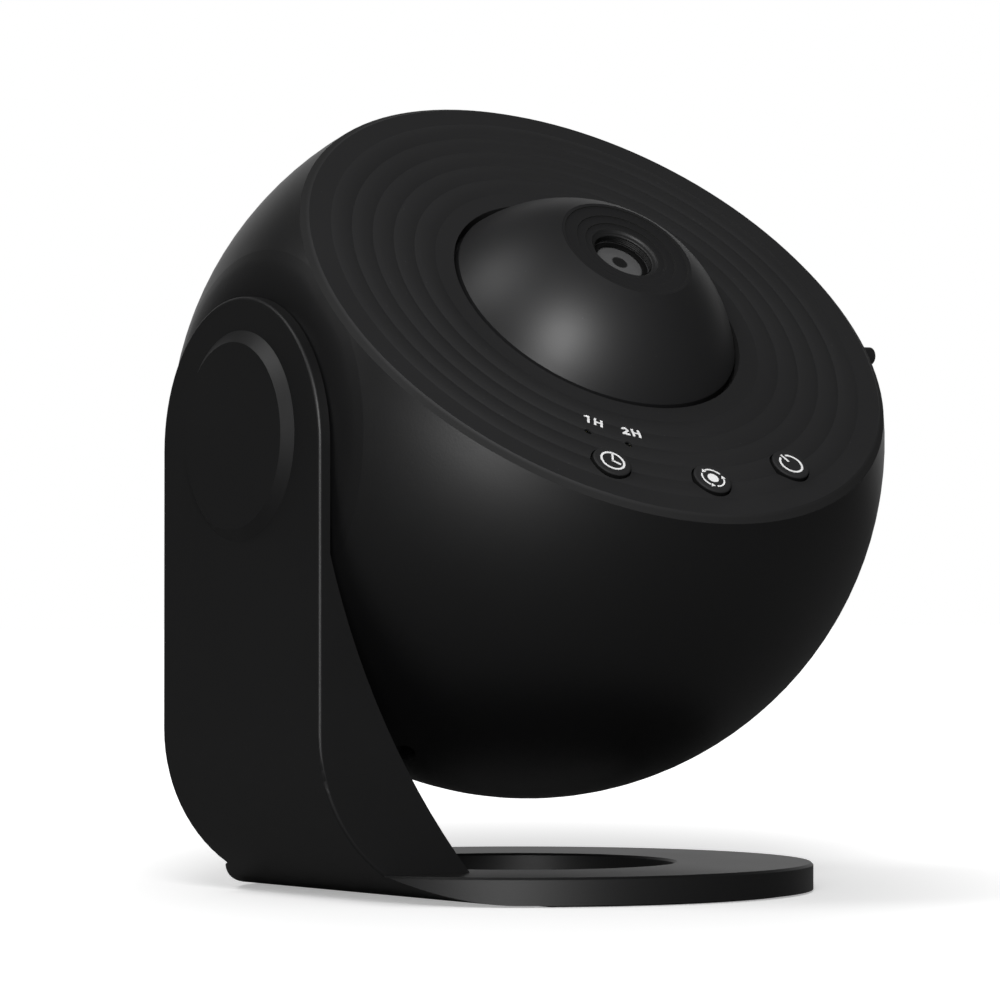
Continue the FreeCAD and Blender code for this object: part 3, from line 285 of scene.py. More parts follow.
def mouldedPlastic(name, colour, rough, grain=2200.0, depth=0.00002, drift=0.06, dust=0.0):
    material, tree, shader = newMaterial(name)
    group = tree.nodes.new("ShaderNodeGroup")
    group.node_tree = grainGroup
    group.inputs["Grain Scale"].default_value = grain
    group.inputs["Roughness"].default_value = rough
    group.inputs["Drift"].default_value = drift
    shade = tintedBy(tree, group.outputs["Tone"], colour)
    if dust:
        flecks = tree.nodes.new("ShaderNodeGroup")
        flecks.node_tree = dustGroup
        flecks.inputs["Density"].default_value = dust
        cover = tree.nodes.new("ShaderNodeMix")
        cover.data_type = "RGBA"
        cover.inputs["B"].default_value = (*[part * grainPlan["fleck"] for part in colour], 1)
        tree.links.new(flecks.outputs["Mask"], cover.inputs["Factor"])
        tree.links.new(shade, cover.inputs["A"])
        shade = cover.outputs["Result"]
    bump = tree.nodes.new("ShaderNodeBump")
    bump.inputs["Distance"].default_value = depth
    bump.inputs["Strength"].default_value = grainPlan["strength"]
    tree.links.new(group.outputs["Height"], bump.inputs["Height"])
    tree.links.new(shade, shader.inputs["Base Color"])
    tree.links.new(group.outputs["Roughness"], shader.inputs["Roughness"])
    tree.links.new(bump.outputs["Normal"], shader.inputs["Normal"])
    return material


metalPlan = {"marks": 900.0, "broad": 60.0, "swing": 0.18, "patches": 0.2, "base": 0.85,
             "depth": 0.00001, "strength": 0.5}


def workedMetal(name, colour, rough, lines=0.0):
    # machined or rolled metal: stretched noise for the tool marks
    material, tree, shader = newMaterial(name)
    marks = addNoise(tree, metalPlan["marks"], 3.0, (1, 1, 1 + lines))
    broad = addNoise(tree, metalPlan["broad"], 3.0)
    swing = addMath(tree, "MULTIPLY", addMath(tree, "SUBTRACT", marks, 0.5), metalPlan["swing"])
    tree.links.new(addMath(tree, "ADD", swing, rough), shader.inputs["Roughness"])
    tone = addMath(tree, "ADD", addMath(tree, "MULTIPLY", broad, metalPlan["patches"]), metalPlan["base"])
    tree.links.new(tintedBy(tree, tone, colour), shader.inputs["Base Color"])
    shader.inputs["Metallic"].default_value = 1.0
    bump = tree.nodes.new("ShaderNodeBump")
    bump.inputs["Distance"].default_value = metalPlan["depth"]
    bump.inputs["Strength"].default_value = metalPlan["strength"]
    tree.links.new(marks, bump.inputs["Height"])
    tree.links.new(bump.outputs["Normal"], shader.inputs["Normal"])
    return material


glassPlan = {"smear": 300.0, "wipe": (1, 3, 1), "index": 1.52, "coatRough": 0.03, "haze": 0.05,
             "polish": 0.02, "stain": 0.06, "clear": 0.95}


def opticalGlass(name, tint, coat):
    # polished glass with a faint coating colour and wiping marks in its gloss
    material, tree, shader = newMaterial(name)
    smear = addNoise(tree, glassPlan["smear"], 4.0, glassPlan["wipe"])
    wiped = addMath(tree, "ADD", addMath(tree, "MULTIPLY", smear, glassPlan["haze"]), glassPlan["polish"])
    tree.links.new(wiped, shader.inputs["Roughness"])
    tone = addMath(tree, "ADD", addMath(tree, "MULTIPLY", smear, glassPlan["stain"]), glassPlan["clear"])
    tree.links.new(tintedBy(tree, tone, tint), shader.inputs["Base Color"])
    shader.inputs["Transmission Weight"].default_value = 1.0
    shader.inputs["IOR"].default_value = glassPlan["index"]
    shader.inputs["Coat Weight"].default_value = coat
    shader.inputs["Coat Roughness"].default_value = glassPlan["coatRough"]
    return material


boardPlan = {"tracks": 160.0, "gap": 0.018, "grit": 1800.0, "depth": 0.00002, "other": (0.8, 0.85, 0.8),
             "dulling": 0.15, "gloss": 0.25}


def circuitBoard(name, colour, copper):
    # solder mask over traces: a brick pattern read as tracks, lighter than the mask
    material, tree, shader = newMaterial(name)
    place = tree.nodes.new("ShaderNodeTexCoord")
    tracks = tree.nodes.new("ShaderNodeTexBrick")
    tracks.inputs["Scale"].default_value = boardPlan["tracks"]
    tracks.inputs["Mortar Size"].default_value = boardPlan["gap"]
    tracks.inputs["Color1"].default_value = (*colour, 1)
    other = [part * share for part, share in zip(colour, boardPlan["other"])]
    tracks.inputs["Color2"].default_value = (*other, 1)
    tracks.inputs["Mortar"].default_value = (*copper, 1)
    tree.links.new(place.outputs["Object"], tracks.inputs["Vector"])
    grit = addNoise(tree, boardPlan["grit"], 2.0)
    tree.links.new(tracks.outputs["Color"], shader.inputs["Base Color"])
    gloss = addMath(tree, "ADD", addMath(tree, "MULTIPLY", grit, boardPlan["dulling"]), boardPlan["gloss"])
    tree.links.new(gloss, shader.inputs["Roughness"])
    bump = tree.nodes.new("ShaderNodeBump")
    bump.inputs["Distance"].default_value = boardPlan["depth"]
    tree.links.new(tracks.outputs["Fac"], bump.inputs["Height"])
    tree.links.new(bump.outputs["Normal"], shader.inputs["Normal"])
    return material


filmPlan = {"stars": ((420.0, 0.10), (1100.0, 0.16)), "haze": 70.0, "sky": (0.004, 0.007, 0.025),
            "cloud": (0.03, 0.05, 0.16), "star": (0.75, 0.8, 0.85), "dulling": 0.08, "gloss": 0.06}


def starFilm(name):
    # dark film with clear dots of two sizes, a plain scatter
    material, tree, shader = newMaterial(name)
    place = tree.nodes.new("ShaderNodeTexCoord")
    light = None
    for scale, size in filmPlan["stars"]:
        dots = tree.nodes.new("ShaderNodeTexVoronoi")
        dots.inputs["Scale"].default_value = scale
        tree.links.new(place.outputs["Object"], dots.inputs["Vector"])
        dot = addMath(tree, "LESS_THAN", dots.outputs["Distance"], size)
        light = dot if light is None else addMath(tree, "MAXIMUM", light, dot)
    haze = addNoise(tree, filmPlan["haze"], 5.0)
    glow = tree.nodes.new("ShaderNodeMix")
    glow.data_type = "RGBA"
    glow.inputs["A"].default_value = (*filmPlan["sky"], 1)
    glow.inputs["B"].default_value = (*filmPlan["cloud"], 1)
    tree.links.new(haze, glow.inputs["Factor"])
    dotted = tree.nodes.new("ShaderNodeMix")
    dotted.data_type = "RGBA"
    dotted.inputs["B"].default_value = (*filmPlan["star"], 1)
    tree.links.new(light, dotted.inputs["Factor"])
    tree.links.new(glow.outputs["Result"], dotted.inputs["A"])
    tree.links.new(dotted.outputs["Result"], shader.inputs["Base Color"])
    gloss = addMath(tree, "ADD", addMath(tree, "MULTIPLY", haze, filmPlan["dulling"]), filmPlan["gloss"])
    tree.links.new(gloss, shader.inputs["Roughness"])
    return material


# painted shade on the dome: dark rings at its steps and a dark throat
domePaintedShade = {"steps": (6.75, 7.45, 8.95, 11.0, 13.7), "line": 0.34, "mouth": 6.45,
             "dark": (0.001, 0.001, 0.001), "dull": 0.95}


def paintDomeShade(material):
    # painted shade: dark lines at the inner corners of the steps round the mouth, and a darkened, dull
    # throat
    tree = material.node_tree
    shader = tree.nodes["Principled BSDF"]
    radius = turnedPlace(tree, "Radius")
    mask = addMath(tree, "LESS_THAN", radius, domePaintedShade["mouth"])
    for step in domePaintedShade["steps"]:
        near = addMath(tree, "ABSOLUTE", addMath(tree, "SUBTRACT", radius, step))
        line = addMath(tree, "SUBTRACT", 1.0, softStep(tree, near, 0.0, domePaintedShade["line"]))
        mask = addMath(tree, "MAXIMUM", mask, line)
    finishWhere(tree, shader, mask, domePaintedShade["dark"], domePaintedShade["dull"])


# painted shade on the face panel below its face
panelPaintedShade = {"face": 37.75, "bevel": 37.3, "dark": (0.005, 0.005, 0.0052), "dull": 0.8}


def paintPanelShade(material):
    # painted shade: the slope from the face's rim to the casing, and the well's wall, darkened and dulled
    tree = material.node_tree
    shader = tree.nodes["Principled BSDF"]
    height = turnedPlace(tree, "Height")
    face = softStep(tree, height, panelPaintedShade["bevel"], panelPaintedShade["face"])
    slope = addMath(tree, "SUBTRACT", 1.0, face)
    finishWhere(tree, shader, slope, panelPaintedShade["dark"], panelPaintedShade["dull"])


# painted shade on the buttons' sides, and the buttons' specular level
buttonPaintedShade = {"edge": 0.45, "crisp": 0.15, "sheen": 0.15, "dark": (0.002, 0.002, 0.002), "dull": 0.9}


def paintButtonShade(material, top):
    # painted shade: the push buttons' sides, below their crisp edge, darkened and dulled
    tree = material.node_tree
    shader = tree.nodes["Principled BSDF"]
    height = turnedPlace(tree, "Height")
    cap = softStep(tree, height, top - buttonPaintedShade["edge"], top - buttonPaintedShade["crisp"])
    side = addMath(tree, "SUBTRACT", 1.0, cap)
    finishWhere(tree, shader, side, buttonPaintedShade["dark"], buttonPaintedShade["dull"])
    shader.inputs["Specular IOR Level"].default_value = buttonPaintedShade["sheen"]


ringShade = {"black": (0.012, 0.012, 0.012), "rough": 0.4, "lines": 20.0, "land": 6.12,
             "bright": (0.6, 0.6, 0.61), "polished": 0.42}


def blackedRing(name):
    # black anodised ring, its outer land left bright
    material = workedMetal(name, ringShade["black"], ringShade["rough"], ringShade["lines"])
    tree = material.node_tree
    shader = tree.nodes["Principled BSDF"]
    radius = turnedPlace(tree, "Radius")
    land = addMath(tree, "GREATER_THAN", radius, ringShade["land"])
    finishWhere(tree, shader, land, ringShade["bright"], ringShade["polished"])
    return material


# the front lens's shape, and the colours of its painted reflection (pale) and painted shade (dark pupil)
frontGlass = {"radius": 5.15, "crown": 0.3, "sunk": 0.45, "segments": 72, "rings": 12,
              "pale": (0.1, 0.1, 0.101), "dark": (0.01, 0.01, 0.01), "pupil": 1.7, "soft": 0.2,
              "streak": 0.08, "base": 0.9, "haze": 0.06, "polish": 0.05}


def paintLensReflection(name):
    # painted reflection: the lens is coloured pale where it would mirror the light, with painted shade, a
    # dark spot in its middle, for the unlit opening behind it
    material, tree, shader = newMaterial(name)
    radius = turnedPlace(tree, "Radius")
    edge, soft = frontGlass["pupil"], frontGlass["soft"]
    outside = softStep(tree, radius, edge - soft, edge + soft)
    smear = addNoise(tree, glassPlan["smear"], 4.0, glassPlan["wipe"])
    tone = tree.nodes.new("ShaderNodeMix")
    tone.data_type = "RGBA"
    tone.inputs["A"].default_value = (*frontGlass["dark"], 1)
    tone.inputs["B"].default_value = (*frontGlass["pale"], 1)
    tree.links.new(outside, tone.inputs["Factor"])
    streak = addMath(tree, "MULTIPLY", smear, frontGlass["streak"])
    wiped = addMath(tree, "ADD", streak, frontGlass["base"])
    mix = tree.nodes.new("ShaderNodeMix")
    mix.data_type = "RGBA"
    mix.blend_type = "MULTIPLY"
    mix.inputs["Factor"].default_value = 1.0
    tree.links.new(tone.outputs["Result"], mix.inputs["A"])
    tree.links.new(wiped, mix.inputs["B"])
    tree.links.new(mix.outputs["Result"], shader.inputs["Base Color"])
    haze = addMath(tree, "MULTIPLY", smear, frontGlass["haze"])
    rough = addMath(tree, "ADD", haze, frontGlass["polish"])
    tree.links.new(rough, shader.inputs["Roughness"])
    shader.inputs["IOR"].default_value = glassPlan["index"]
    return material


plasticTone = {"casing": (0.0022, 0.0022, 0.0024), "panel": (0.0115, 0.0115, 0.012),
               "dome": (0.010, 0.010, 0.0105), "stand": (0.0032, 0.0032, 0.0034),
               "button": (0.021, 0.021, 0.0215), "inner": (0.014, 0.014, 0.0145),
               "baffle": (0.0015, 0.0015, 0.0015)}
plasticGloss = {"casing": 0.43, "panel": 0.62, "dome": 0.48, "stand": 0.5, "button": 0.62, "inner": 0.6,
                "knob": 0.5, "baffle": 0.6}
baffleSheen = 0.25

casingPlastic = mouldedPlastic("casingPlastic", plasticTone["casing"], plasticGloss["casing"], dust=0.03)
panelPlastic = mouldedPlastic("panelPlastic", plasticTone["panel"], plasticGloss["panel"], dust=0.04)
domePlastic = mouldedPlastic("domePlastic", plasticTone["dome"], plasticGloss["dome"], grain=2800.0,
                             dust=0.02)
standPlastic = mouldedPlastic("standPlastic", plasticTone["stand"], plasticGloss["stand"], dust=0.03)
buttonPlastic = mouldedPlastic("buttonPlastic", plasticTone["button"], plasticGloss["button"],
                               grain=3200.0)
knobPlastic = mouldedPlastic("knobPlastic", plasticTone["dome"], plasticGloss["knob"], grain=3200.0)
innerPlastic = mouldedPlastic("innerPlastic", plasticTone["inner"], plasticGloss["inner"], grain=1500.0)
acetalPlastic = mouldedPlastic("acetalPlastic", (0.78, 0.77, 0.73), 0.36, grain=1200.0, depth=0.00001)
rubberFoam = mouldedPlastic("rubberFoam", (0.016, 0.016, 0.016), 0.85, grain=1100.0,
                            depth=0.00012, drift=0.1)
whiteInk = mouldedPlastic("whiteInk", (0.86, 0.86, 0.86), 0.55, grain=3600.0, depth=0.000004,
                          drift=0.03)
chipBlack = mouldedPlastic("chipBlack", (0.02, 0.02, 0.022), 0.45, grain=2600.0)
phosphor = mouldedPlastic("phosphor", (0.85, 0.68, 0.18), 0.3, grain=2600.0, depth=0.000006)
pipeAcrylic = opticalGlass("pipeAcrylic", (0.8, 0.81, 0.83), 0.0)
lensGlass = opticalGlass("lensGlass", (0.9, 0.93, 0.95), 0.6)
turnedRing = blackedRing("turnedRing")
lensPaintedReflection = paintLensReflection("lensPaintedReflection")
extrudedFins = workedMetal("extrudedFins", (0.55, 0.56, 0.58), 0.4, 12.0)
screwSteel = workedMetal("screwSteel", (0.12, 0.12, 0.125), 0.35)
brightSteel = workedMetal("brightSteel", (0.62, 0.62, 0.63), 0.22)
rolledSteel = workedMetal("rolledSteel", (0.4, 0.4, 0.41), 0.42, 8.0)
boardGreen = circuitBoard("boardGreen", (0.012, 0.11, 0.035), (0.10, 0.26, 0.10))
starPicture = starFilm("starPicture")
baffleBlack = mouldedPlastic("baffleBlack", plasticTone["baffle"], plasticGloss["baffle"], grain=3000.0)
baffleBlack.node_tree.nodes["Principled BSDF"].inputs["Specular IOR Level"].default_value = baffleSheen
paintDomeShade(domePlastic)
paintPanelShade(panelPlastic)
paintButtonShade(buttonPlastic, ballBox("timer_button")[1].z / mm)

finishOf = {
    casingPlastic: ["ball_casing"],
    panelPlastic: ["face_panel"],
    domePlastic: ["lens_dome"],
    standPlastic: ["stand_bracket", "arm_cover", "pivot_cap"],
    buttonPlastic: ["timer_button", "rotate_button", "power_button"],
    knobPlastic: ["focus_knob"],
    innerPlastic: ["chassis_plate", "lamp_housing", "focus_ring", "film_stage", "lens_barrel",
                   "pivot_retainer", "film_frame"],
    acetalPlastic: ["film_turntable", "motor_pinion", "pivot_bush"],
    rubberFoam: ["base_pad"],
    chipBlack: ["main_board_parts", "button_switches"],
    phosphor: ["lamp_emitter", "timer_lights"],
    pipeAcrylic: ["timer_light_pipes"],
    lensGlass: ["front_lens", "rear_lens", "condenser_lens"],
    turnedRing: ["lens_retaining_ring", "rear_lens_ring"],
    extrudedFins: ["heat_sink"],
    screwSteel: ["panel_screws", "casing_screws", "motor_screws", "housing_screws", "lamp_screws",
                 "control_board_screws", "main_board_screws", "retainer_screws", "arm_cover_screws"],
    brightSteel: ["usb_socket", "friction_spring", "follower_pins", "motor_shaft"],
    rolledSteel: ["ballast_plate", "drive_motor"],
    boardGreen: ["control_board", "main_board", "lamp_board"],
    starPicture: ["film_slide"],
}
for material, names in finishOf.items():
    for name in names:
        for place in nodes[name].material_slots:
            place.material = material
print("materials on", sum(len(names) for names in finishOf.values()), "of", len(nodes), "nodes")


def frontLens():
    # the front lens, its face just under the top of its ring
    under = ballBox("front_lens")[0].z / mm
    over = ballBox("lens_retaining_ring")[1].z / mm - frontGlass["sunk"]
    reach, crown = frontGlass["radius"], frontGlass["crown"]
    curve = (reach ** 2 + crown ** 2) / (2 * crown)
    outline = [(0, under), (reach, under), (reach, over)]
    for ring in range(1, frontGlass["rings"] + 1):
        out = reach * (1 - ring / frontGlass["rings"])
        outline.append((out, over + crown - curve + math.sqrt(curve ** 2 - out ** 2)))
    bm = turnProfile(outline, frontGlass["segments"])
    piece = finishPiece("frontLens", bm, ballFrame, lensPaintedReflection, "dome", smooth=True)
    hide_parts("front_lens")


frontLens()
print("front lens made")

baffle = {"throat": 6.36, "height": 1.5, "depth": 0.14, "ridges": 4, "segments": 72, "clear": 0.04}
bezel = {"lap": 0.91, "thick": 0.1, "clear": 0.02}


def lensBezel():
    # black lip over the lens's edge, inside the ring's bright land
    floor = ballBox("lens_retaining_ring")[1].z / mm + bezel["clear"]
    inner = frontGlass["radius"] + bezel["clear"]
    outer = inner + bezel["lap"]
    outline = [(inner, floor - frontGlass["sunk"]), (outer, floor), (outer, floor + bezel["thick"]),
               (inner, floor + bezel["thick"])]
    bm = turnProfile(outline, baffle["segments"], closed=True)
    finishPiece("lensBezel", bm, ballFrame, baffleBlack, "dome")


def mouthBaffle():
    # fine dark ridges on the throat's wall above the objective, against stray light
    floor = ballBox("lens_retaining_ring")[1].z / mm + baffle["clear"]
    pitch = baffle["height"] / baffle["ridges"]
    outline = []
    for ridge in range(baffle["ridges"]):
        level = floor + baffle["height"] - ridge * pitch
        outline += [(baffle["throat"] - baffle["depth"], level), (baffle["throat"], level - pitch / 2)]
    outline.append((baffle["throat"], floor))
    bm = turnProfile(outline, baffle["segments"])
    finishPiece("mouthBaffle", bm, ballFrame, baffleBlack, "dome")


lensBezel()
mouthBaffle()
print("mouth baffle made")

buttonSign = {"radius": 2.45, "stroke": 0.46, "ink": 0.05, "hand": 0.44}
timerSign = {"minute": (0.0, 0.95), "long": 2.2, "hour": (0.78, -0.2), "short": 2.0, "lean": 14,
             "steps": 72}


def timerSymbol():
    bm = bmesh.new()
    arcStrip(bm, buttonSign["radius"], buttonSign["stroke"], 0, 360, timerSign["steps"])
    strokeBar(bm, *timerSign["minute"], buttonSign["hand"], timerSign["long"])
    strokeBar(bm, *timerSign["hour"], timerSign["short"], buttonSign["hand"], timerSign["lean"])
    inkUp(bm, buttonSign["ink"])
    finishPiece("timerSymbol", bm, onButton("timer_button"), whiteInk, "timer")


rotateSign = {"dot": 1.22, "radius": 2.45, "stroke": 0.36, "sweep": 84, "lead": 12,
              "head": 0.6, "heads": (-32, 88, 208), "steps": 20, "dotSteps": 48}


def rotateSymbol():
    bm = bmesh.new()
    bmesh.ops.create_circle(bm, cap_ends=True, segments=rotateSign["dotSteps"],
                            radius=rotateSign["dot"] * mm)
    for start in rotateSign["heads"]:
        first = start + rotateSign["lead"]
        arcStrip(bm, rotateSign["radius"], rotateSign["stroke"], first, rotateSign["sweep"],
                 rotateSign["steps"])
        turn = math.radians(90 - start)
        tip = bmesh.ops.create_circle(bm, cap_ends=True, segments=3, radius=rotateSign["head"] * mm)
        spot = Vector((math.cos(turn), math.sin(turn), 0)) * rotateSign["radius"] * mm
        place = Matrix.Translation(spot) @ Matrix.Rotation(turn, 4, "Z")
        bmesh.ops.transform(bm, matrix=place, verts=tip["verts"])
    inkUp(bm, buttonSign["ink"])
    finishPiece("rotateSymbol", bm, onButton("rotate_button"), whiteInk, "rotate")


powerSign = {"gap": 20, "bar": 1.75, "length": 2.2, "steps": 64}


def powerSymbol():
    bm = bmesh.new()
    sweep = 360 - 2 * powerSign["gap"]
    arcStrip(bm, buttonSign["radius"], buttonSign["stroke"], powerSign["gap"], sweep, powerSign["steps"])
    strokeBar(bm, 0, powerSign["bar"], buttonSign["hand"], powerSign["length"])
    inkUp(bm, buttonSign["ink"])
    finishPiece("powerSymbol", bm, onButton("power_button"), whiteInk, "power")


hourMark = {"height": 2.6, "width": 4.15, "circle": 41.75, "ink": 0.06, "one": -118.45, "two": -107.1,
            "stroke": 0.52, "letter": 1.9, "bar": 0.9, "levels": 12}
oneFlag = {"out": 1.05, "under": 0.62, "length": 1.5, "thick": 0.9, "lean": -24}
twoShape = {"narrow": 0.88, "from": -80, "sweep": 200, "leave": -30, "overlap": 0.3,
            "steps": 16}
ripple = {"inner": 36.15, "pitch": 4.572, "rise": 0.35, "face": 37.8}


def rippleTop(radius):
    # height of the face at one radius, over its rounded ripples
    across = ((radius - ripple["inner"]) / ripple["pitch"]) % 1.0
    return ripple["face"] + ripple["rise"] * (1 - (2 * across - 1) ** 2)


def letterH(bm, x):
    height, stroke, wide = hourMark["height"], hourMark["stroke"], hourMark["letter"]
    for side in (-1, 1):
        strokeBar(bm, x + side * (wide - stroke) / 2, 0, stroke, height)
    strokeBar(bm, x, 0, wide - 2 * stroke, stroke * hourMark["bar"])


def digitOne(bm, x):
    height, stroke = hourMark["height"], hourMark["stroke"]
    strokeBar(bm, x, 0, stroke, height)
    strokeBar(bm, x - stroke * oneFlag["out"], height / 2 - stroke * oneFlag["under"],
              stroke * oneFlag["length"], stroke * oneFlag["thick"], oneFlag["lean"])


def digitTwo(bm, x):
    height, stroke = hourMark["height"], hourMark["stroke"]
    wide = hourMark["letter"] * twoShape["narrow"]
    bow = (wide - stroke) / 2
    level = height / 2 - stroke / 2 - bow
    before = set(bm.verts)
    arcStrip(bm, bow, stroke, twoShape["from"], twoShape["sweep"], twoShape["steps"])
    made = [vertex for vertex in bm.verts if vertex not in before]
    bmesh.ops.translate(bm, verts=made, vec=(x * mm, level * mm, 0))
    foot = -height / 2 + stroke / 2
    leave = math.radians(twoShape["leave"])
    start = Vector((x + bow * math.cos(leave), level + bow * math.sin(leave)))
    end = Vector((x - bow, foot))
    way = end - start
    length = way.length + stroke * twoShape["overlap"]
    strokeBar(bm, (start.x + end.x) / 2, (start.y + end.y) / 2, length, stroke,
              math.degrees(math.atan2(-way.y, way.x)))
    strokeBar(bm, x, foot, wide, stroke)


def hourText(name, digit, angle):
    bm = bmesh.new()
    edge = hourMark["width"] / 2
    letterH(bm, edge - hourMark["letter"] / 2)
    if digit == 1:
        digitOne(bm, -edge + hourMark["stroke"] * 2)
    else:
        digitTwo(bm, -edge + hourMark["letter"] * twoShape["narrow"] / 2)
    for step in range(1, hourMark["levels"]):
        level = (step / hourMark["levels"] - 0.5) * hourMark["height"] * mm
        whole = bm.verts[:] + bm.edges[:] + bm.faces[:]
        bmesh.ops.bisect_plane(bm, geom=whole, plane_co=(0, level, 0), plane_no=(0, 1, 0))
    inkUp(bm, hourMark["ink"])
    place = onFace(hourMark["circle"] * mm, math.radians(angle), 0)
    bmesh.ops.transform(bm, matrix=place, verts=bm.verts)
    for vertex in bm.verts:
        vertex.co.z += rippleTop(vertex.co.xy.length / mm) * mm
    finishPiece(name, bm, ballFrame, whiteInk, "ball")


timerSymbol()
rotateSymbol()
powerSymbol()
hourText("oneHourMark", 1, hourMark["one"])
hourText("twoHourMark", 2, hourMark["two"])
print("printed marks made")


cameraPlace = {"place": (-0.5960, -0.8832, 0.0630), "back": (-0.5561, -0.8309, -0.01747),
               "up": (-0.00971, -0.01452, 0.99985), "lens": 182.6, "sensor": 36.0,
               "lower": 0.0008, "near": 0.05, "far": 20.0}
floorPlan = {"size": 6.0, "tone": 0.16, "seenTone": 0.85, "nearLight": 0.36, "farLight": 1.0,
             "near": 0.12, "far": 0.5, "across": 2.6, "rough": 0.9}


def paleFloor():
    # pale as the camera sees it, darker to the light that bounces off it
    bm = bmesh.new()
    bmesh.ops.create_grid(bm, x_segments=1, y_segments=1, size=floorPlan["size"])
    mesh = bpy.data.meshes.new("paleFloor")
    bm.to_mesh(mesh)
    bm.free()
    material, tree, shader = newMaterial("paleFloor")
    shader.inputs["Roughness"].default_value = floorPlan["rough"]
    shader.inputs["Specular IOR Level"].default_value = 0.0
    rays = tree.nodes.new("ShaderNodeLightPath")
    seen = addMath(tree, "MAXIMUM", rays.outputs["Is Camera Ray"], rays.outputs["Is Transmission Ray"])
    paper = tree.nodes.new("ShaderNodeMix")
    paper.data_type = "RGBA"
    for socket, tone in (("A", floorPlan["tone"]), ("B", floorPlan["seenTone"])):
        paper.inputs[socket].default_value = (tone, tone, tone, 1)
    tree.links.new(seen, paper.inputs["Factor"])
    tree.links.new(paper.outputs["Result"], shader.inputs["Base Color"])
    shader.inputs["Emission Color"].default_value = (1, 1, 1, 1)
    place = tree.nodes.new("ShaderNodeTexCoord")
    turned = tree.nodes.new("ShaderNodeMapping")
    heading = math.atan2(-cameraPlace["back"][1], -cameraPlace["back"][0])
    turned.inputs["Rotation"].default_value = (0, 0, -heading)
    tree.links.new(place.outputs["Object"], turned.inputs["Vector"])
    longer = tree.nodes.new("ShaderNodeVectorMath")
    longer.operation = "MULTIPLY"
    longer.inputs[1].default_value = (1, floorPlan["across"], 1)
    tree.links.new(turned.outputs[0], longer.inputs[0])
    away = tree.nodes.new("ShaderNodeVectorMath")
    away.operation = "LENGTH"
    tree.links.new(longer.outputs[0], away.inputs[0])
    spread = tree.nodes.new("ShaderNodeMapRange")
    spread.interpolation_type = "SMOOTHSTEP"
    spread.inputs["From Min"].default_value = floorPlan["near"]
    spread.inputs["From Max"].default_value = floorPlan["far"]
    spread.inputs["To Min"].default_value = floorPlan["nearLight"]
    spread.inputs["To Max"].default_value = floorPlan["farLight"]
    tree.links.new(away.outputs["Value"], spread.inputs["Value"])
    glow = addMath(tree, "MULTIPLY", seen, spread.outputs["Result"])
    tree.links.new(glow, shader.inputs["Emission Strength"])
    mesh.materials.append(material)
    floor = bpy.data.objects.new("paleFloor", mesh)
    bpy.context.scene.collection.objects.link(floor)


worldPlan = {"ambient": 0.23, "front": 0.05, "behind": 0.8, "from": 0.62, "to": 1.0}


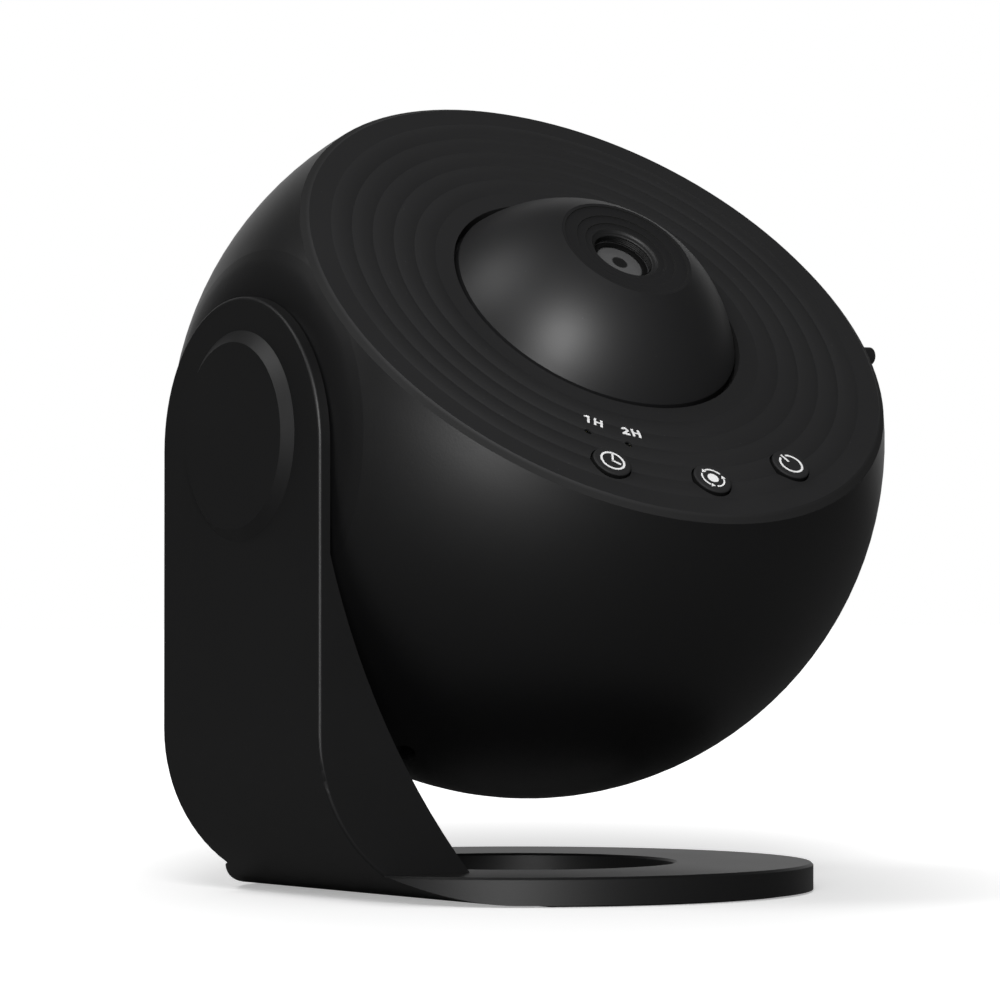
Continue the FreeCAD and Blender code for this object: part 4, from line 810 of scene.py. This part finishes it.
def paleWorld():
    # white behind the object, as a backdrop is, and a dim room in front of it
    world = bpy.data.worlds.new("paleWorld")
    bpy.context.scene.world = world
    world.use_nodes = True
    tree = world.node_tree
    back = tree.nodes["Background"]
    rays = tree.nodes.new("ShaderNodeLightPath")
    place = tree.nodes.new("ShaderNodeTexCoord")
    along = tree.nodes.new("ShaderNodeVectorMath")
    along.operation = "DOT_PRODUCT"
    away = -Vector(cameraPlace["back"])
    along.inputs[1].default_value = Vector((away.x, away.y, 0)).normalized()
    tree.links.new(place.outputs["Generated"], along.inputs[0])
    spread = tree.nodes.new("ShaderNodeMapRange")
    spread.interpolation_type = "SMOOTHSTEP"
    spread.inputs["From Min"].default_value = worldPlan["from"]
    spread.inputs["From Max"].default_value = worldPlan["to"]
    spread.inputs["To Min"].default_value = worldPlan["front"]
    spread.inputs["To Max"].default_value = worldPlan["behind"]
    tree.links.new(along.outputs["Value"], spread.inputs["Value"])
    ambient = worldPlan["ambient"]
    shiny = addMath(tree, "MULTIPLY", rays.outputs["Is Glossy Ray"],
                    addMath(tree, "SUBTRACT", spread.outputs["Result"], ambient))
    level = addMath(tree, "ADD", shiny, ambient)
    seen = addMath(tree, "MAXIMUM", rays.outputs["Is Camera Ray"], rays.outputs["Is Transmission Ray"])
    lift = addMath(tree, "MULTIPLY", seen, addMath(tree, "SUBTRACT", 1.0, level))
    level = addMath(tree, "ADD", lift, level)
    back.inputs["Color"].default_value = (1, 1, 1, 1)
    tree.links.new(level, back.inputs["Strength"])


lamps = [
    {"name": "frontBox", "turn": 1.0, "rise": 21.0, "far": 1.5, "size": 0.42, "power": 14.0},
    {"name": "lowBox", "turn": 8.0, "rise": 5.0, "far": 1.5, "size": 0.35, "power": 6.6},
    {"name": "leftBox", "turn": 72.0, "rise": 50.0, "far": 1.4, "size": 0.7, "power": 5.0},
]


def softLamp(name, turn, rise, far, size, power):
    # turn is measured to the left of the camera, as seen from the object
    back = Vector(cameraPlace["back"])
    heading = math.atan2(back.y, back.x) - math.radians(turn)
    lift = math.radians(rise)
    way = Vector((math.cos(heading) * math.cos(lift), math.sin(heading) * math.cos(lift), math.sin(lift)))
    data = bpy.data.lights.new(name, "AREA")
    data.shape = "DISK"
    data.size = size
    data.energy = power
    lamp = bpy.data.objects.new(name, data)
    bpy.context.scene.collection.objects.link(lamp)
    lamp.location = ballCentre + way * far
    lamp.rotation_mode = "QUATERNION"
    lamp.rotation_quaternion = (-way).to_track_quat("-Z", "Y")


def setCamera():
    back = Vector(cameraPlace["back"]).normalized()
    up = Vector(cameraPlace["up"])
    right = up.cross(back).normalized()
    up = back.cross(right).normalized()
    data = bpy.data.cameras.new("mainCamera")
    data.lens = cameraPlace["lens"]
    data.shift_y = cameraPlace["lower"]
    data.sensor_width = cameraPlace["sensor"]
    data.clip_start = cameraPlace["near"]
    data.clip_end = cameraPlace["far"]
    camera = bpy.data.objects.new("mainCamera", data)
    bpy.context.scene.collection.objects.link(camera)
    turn = Matrix((right, up, back)).transposed().to_4x4()
    camera.matrix_world = Matrix.Translation(cameraPlace["place"]) @ turn
    bpy.context.scene.camera = camera


paleFloor()
paleWorld()
for lamp in lamps:
    softLamp(**lamp)
setCamera()
print("floor, light and camera set")
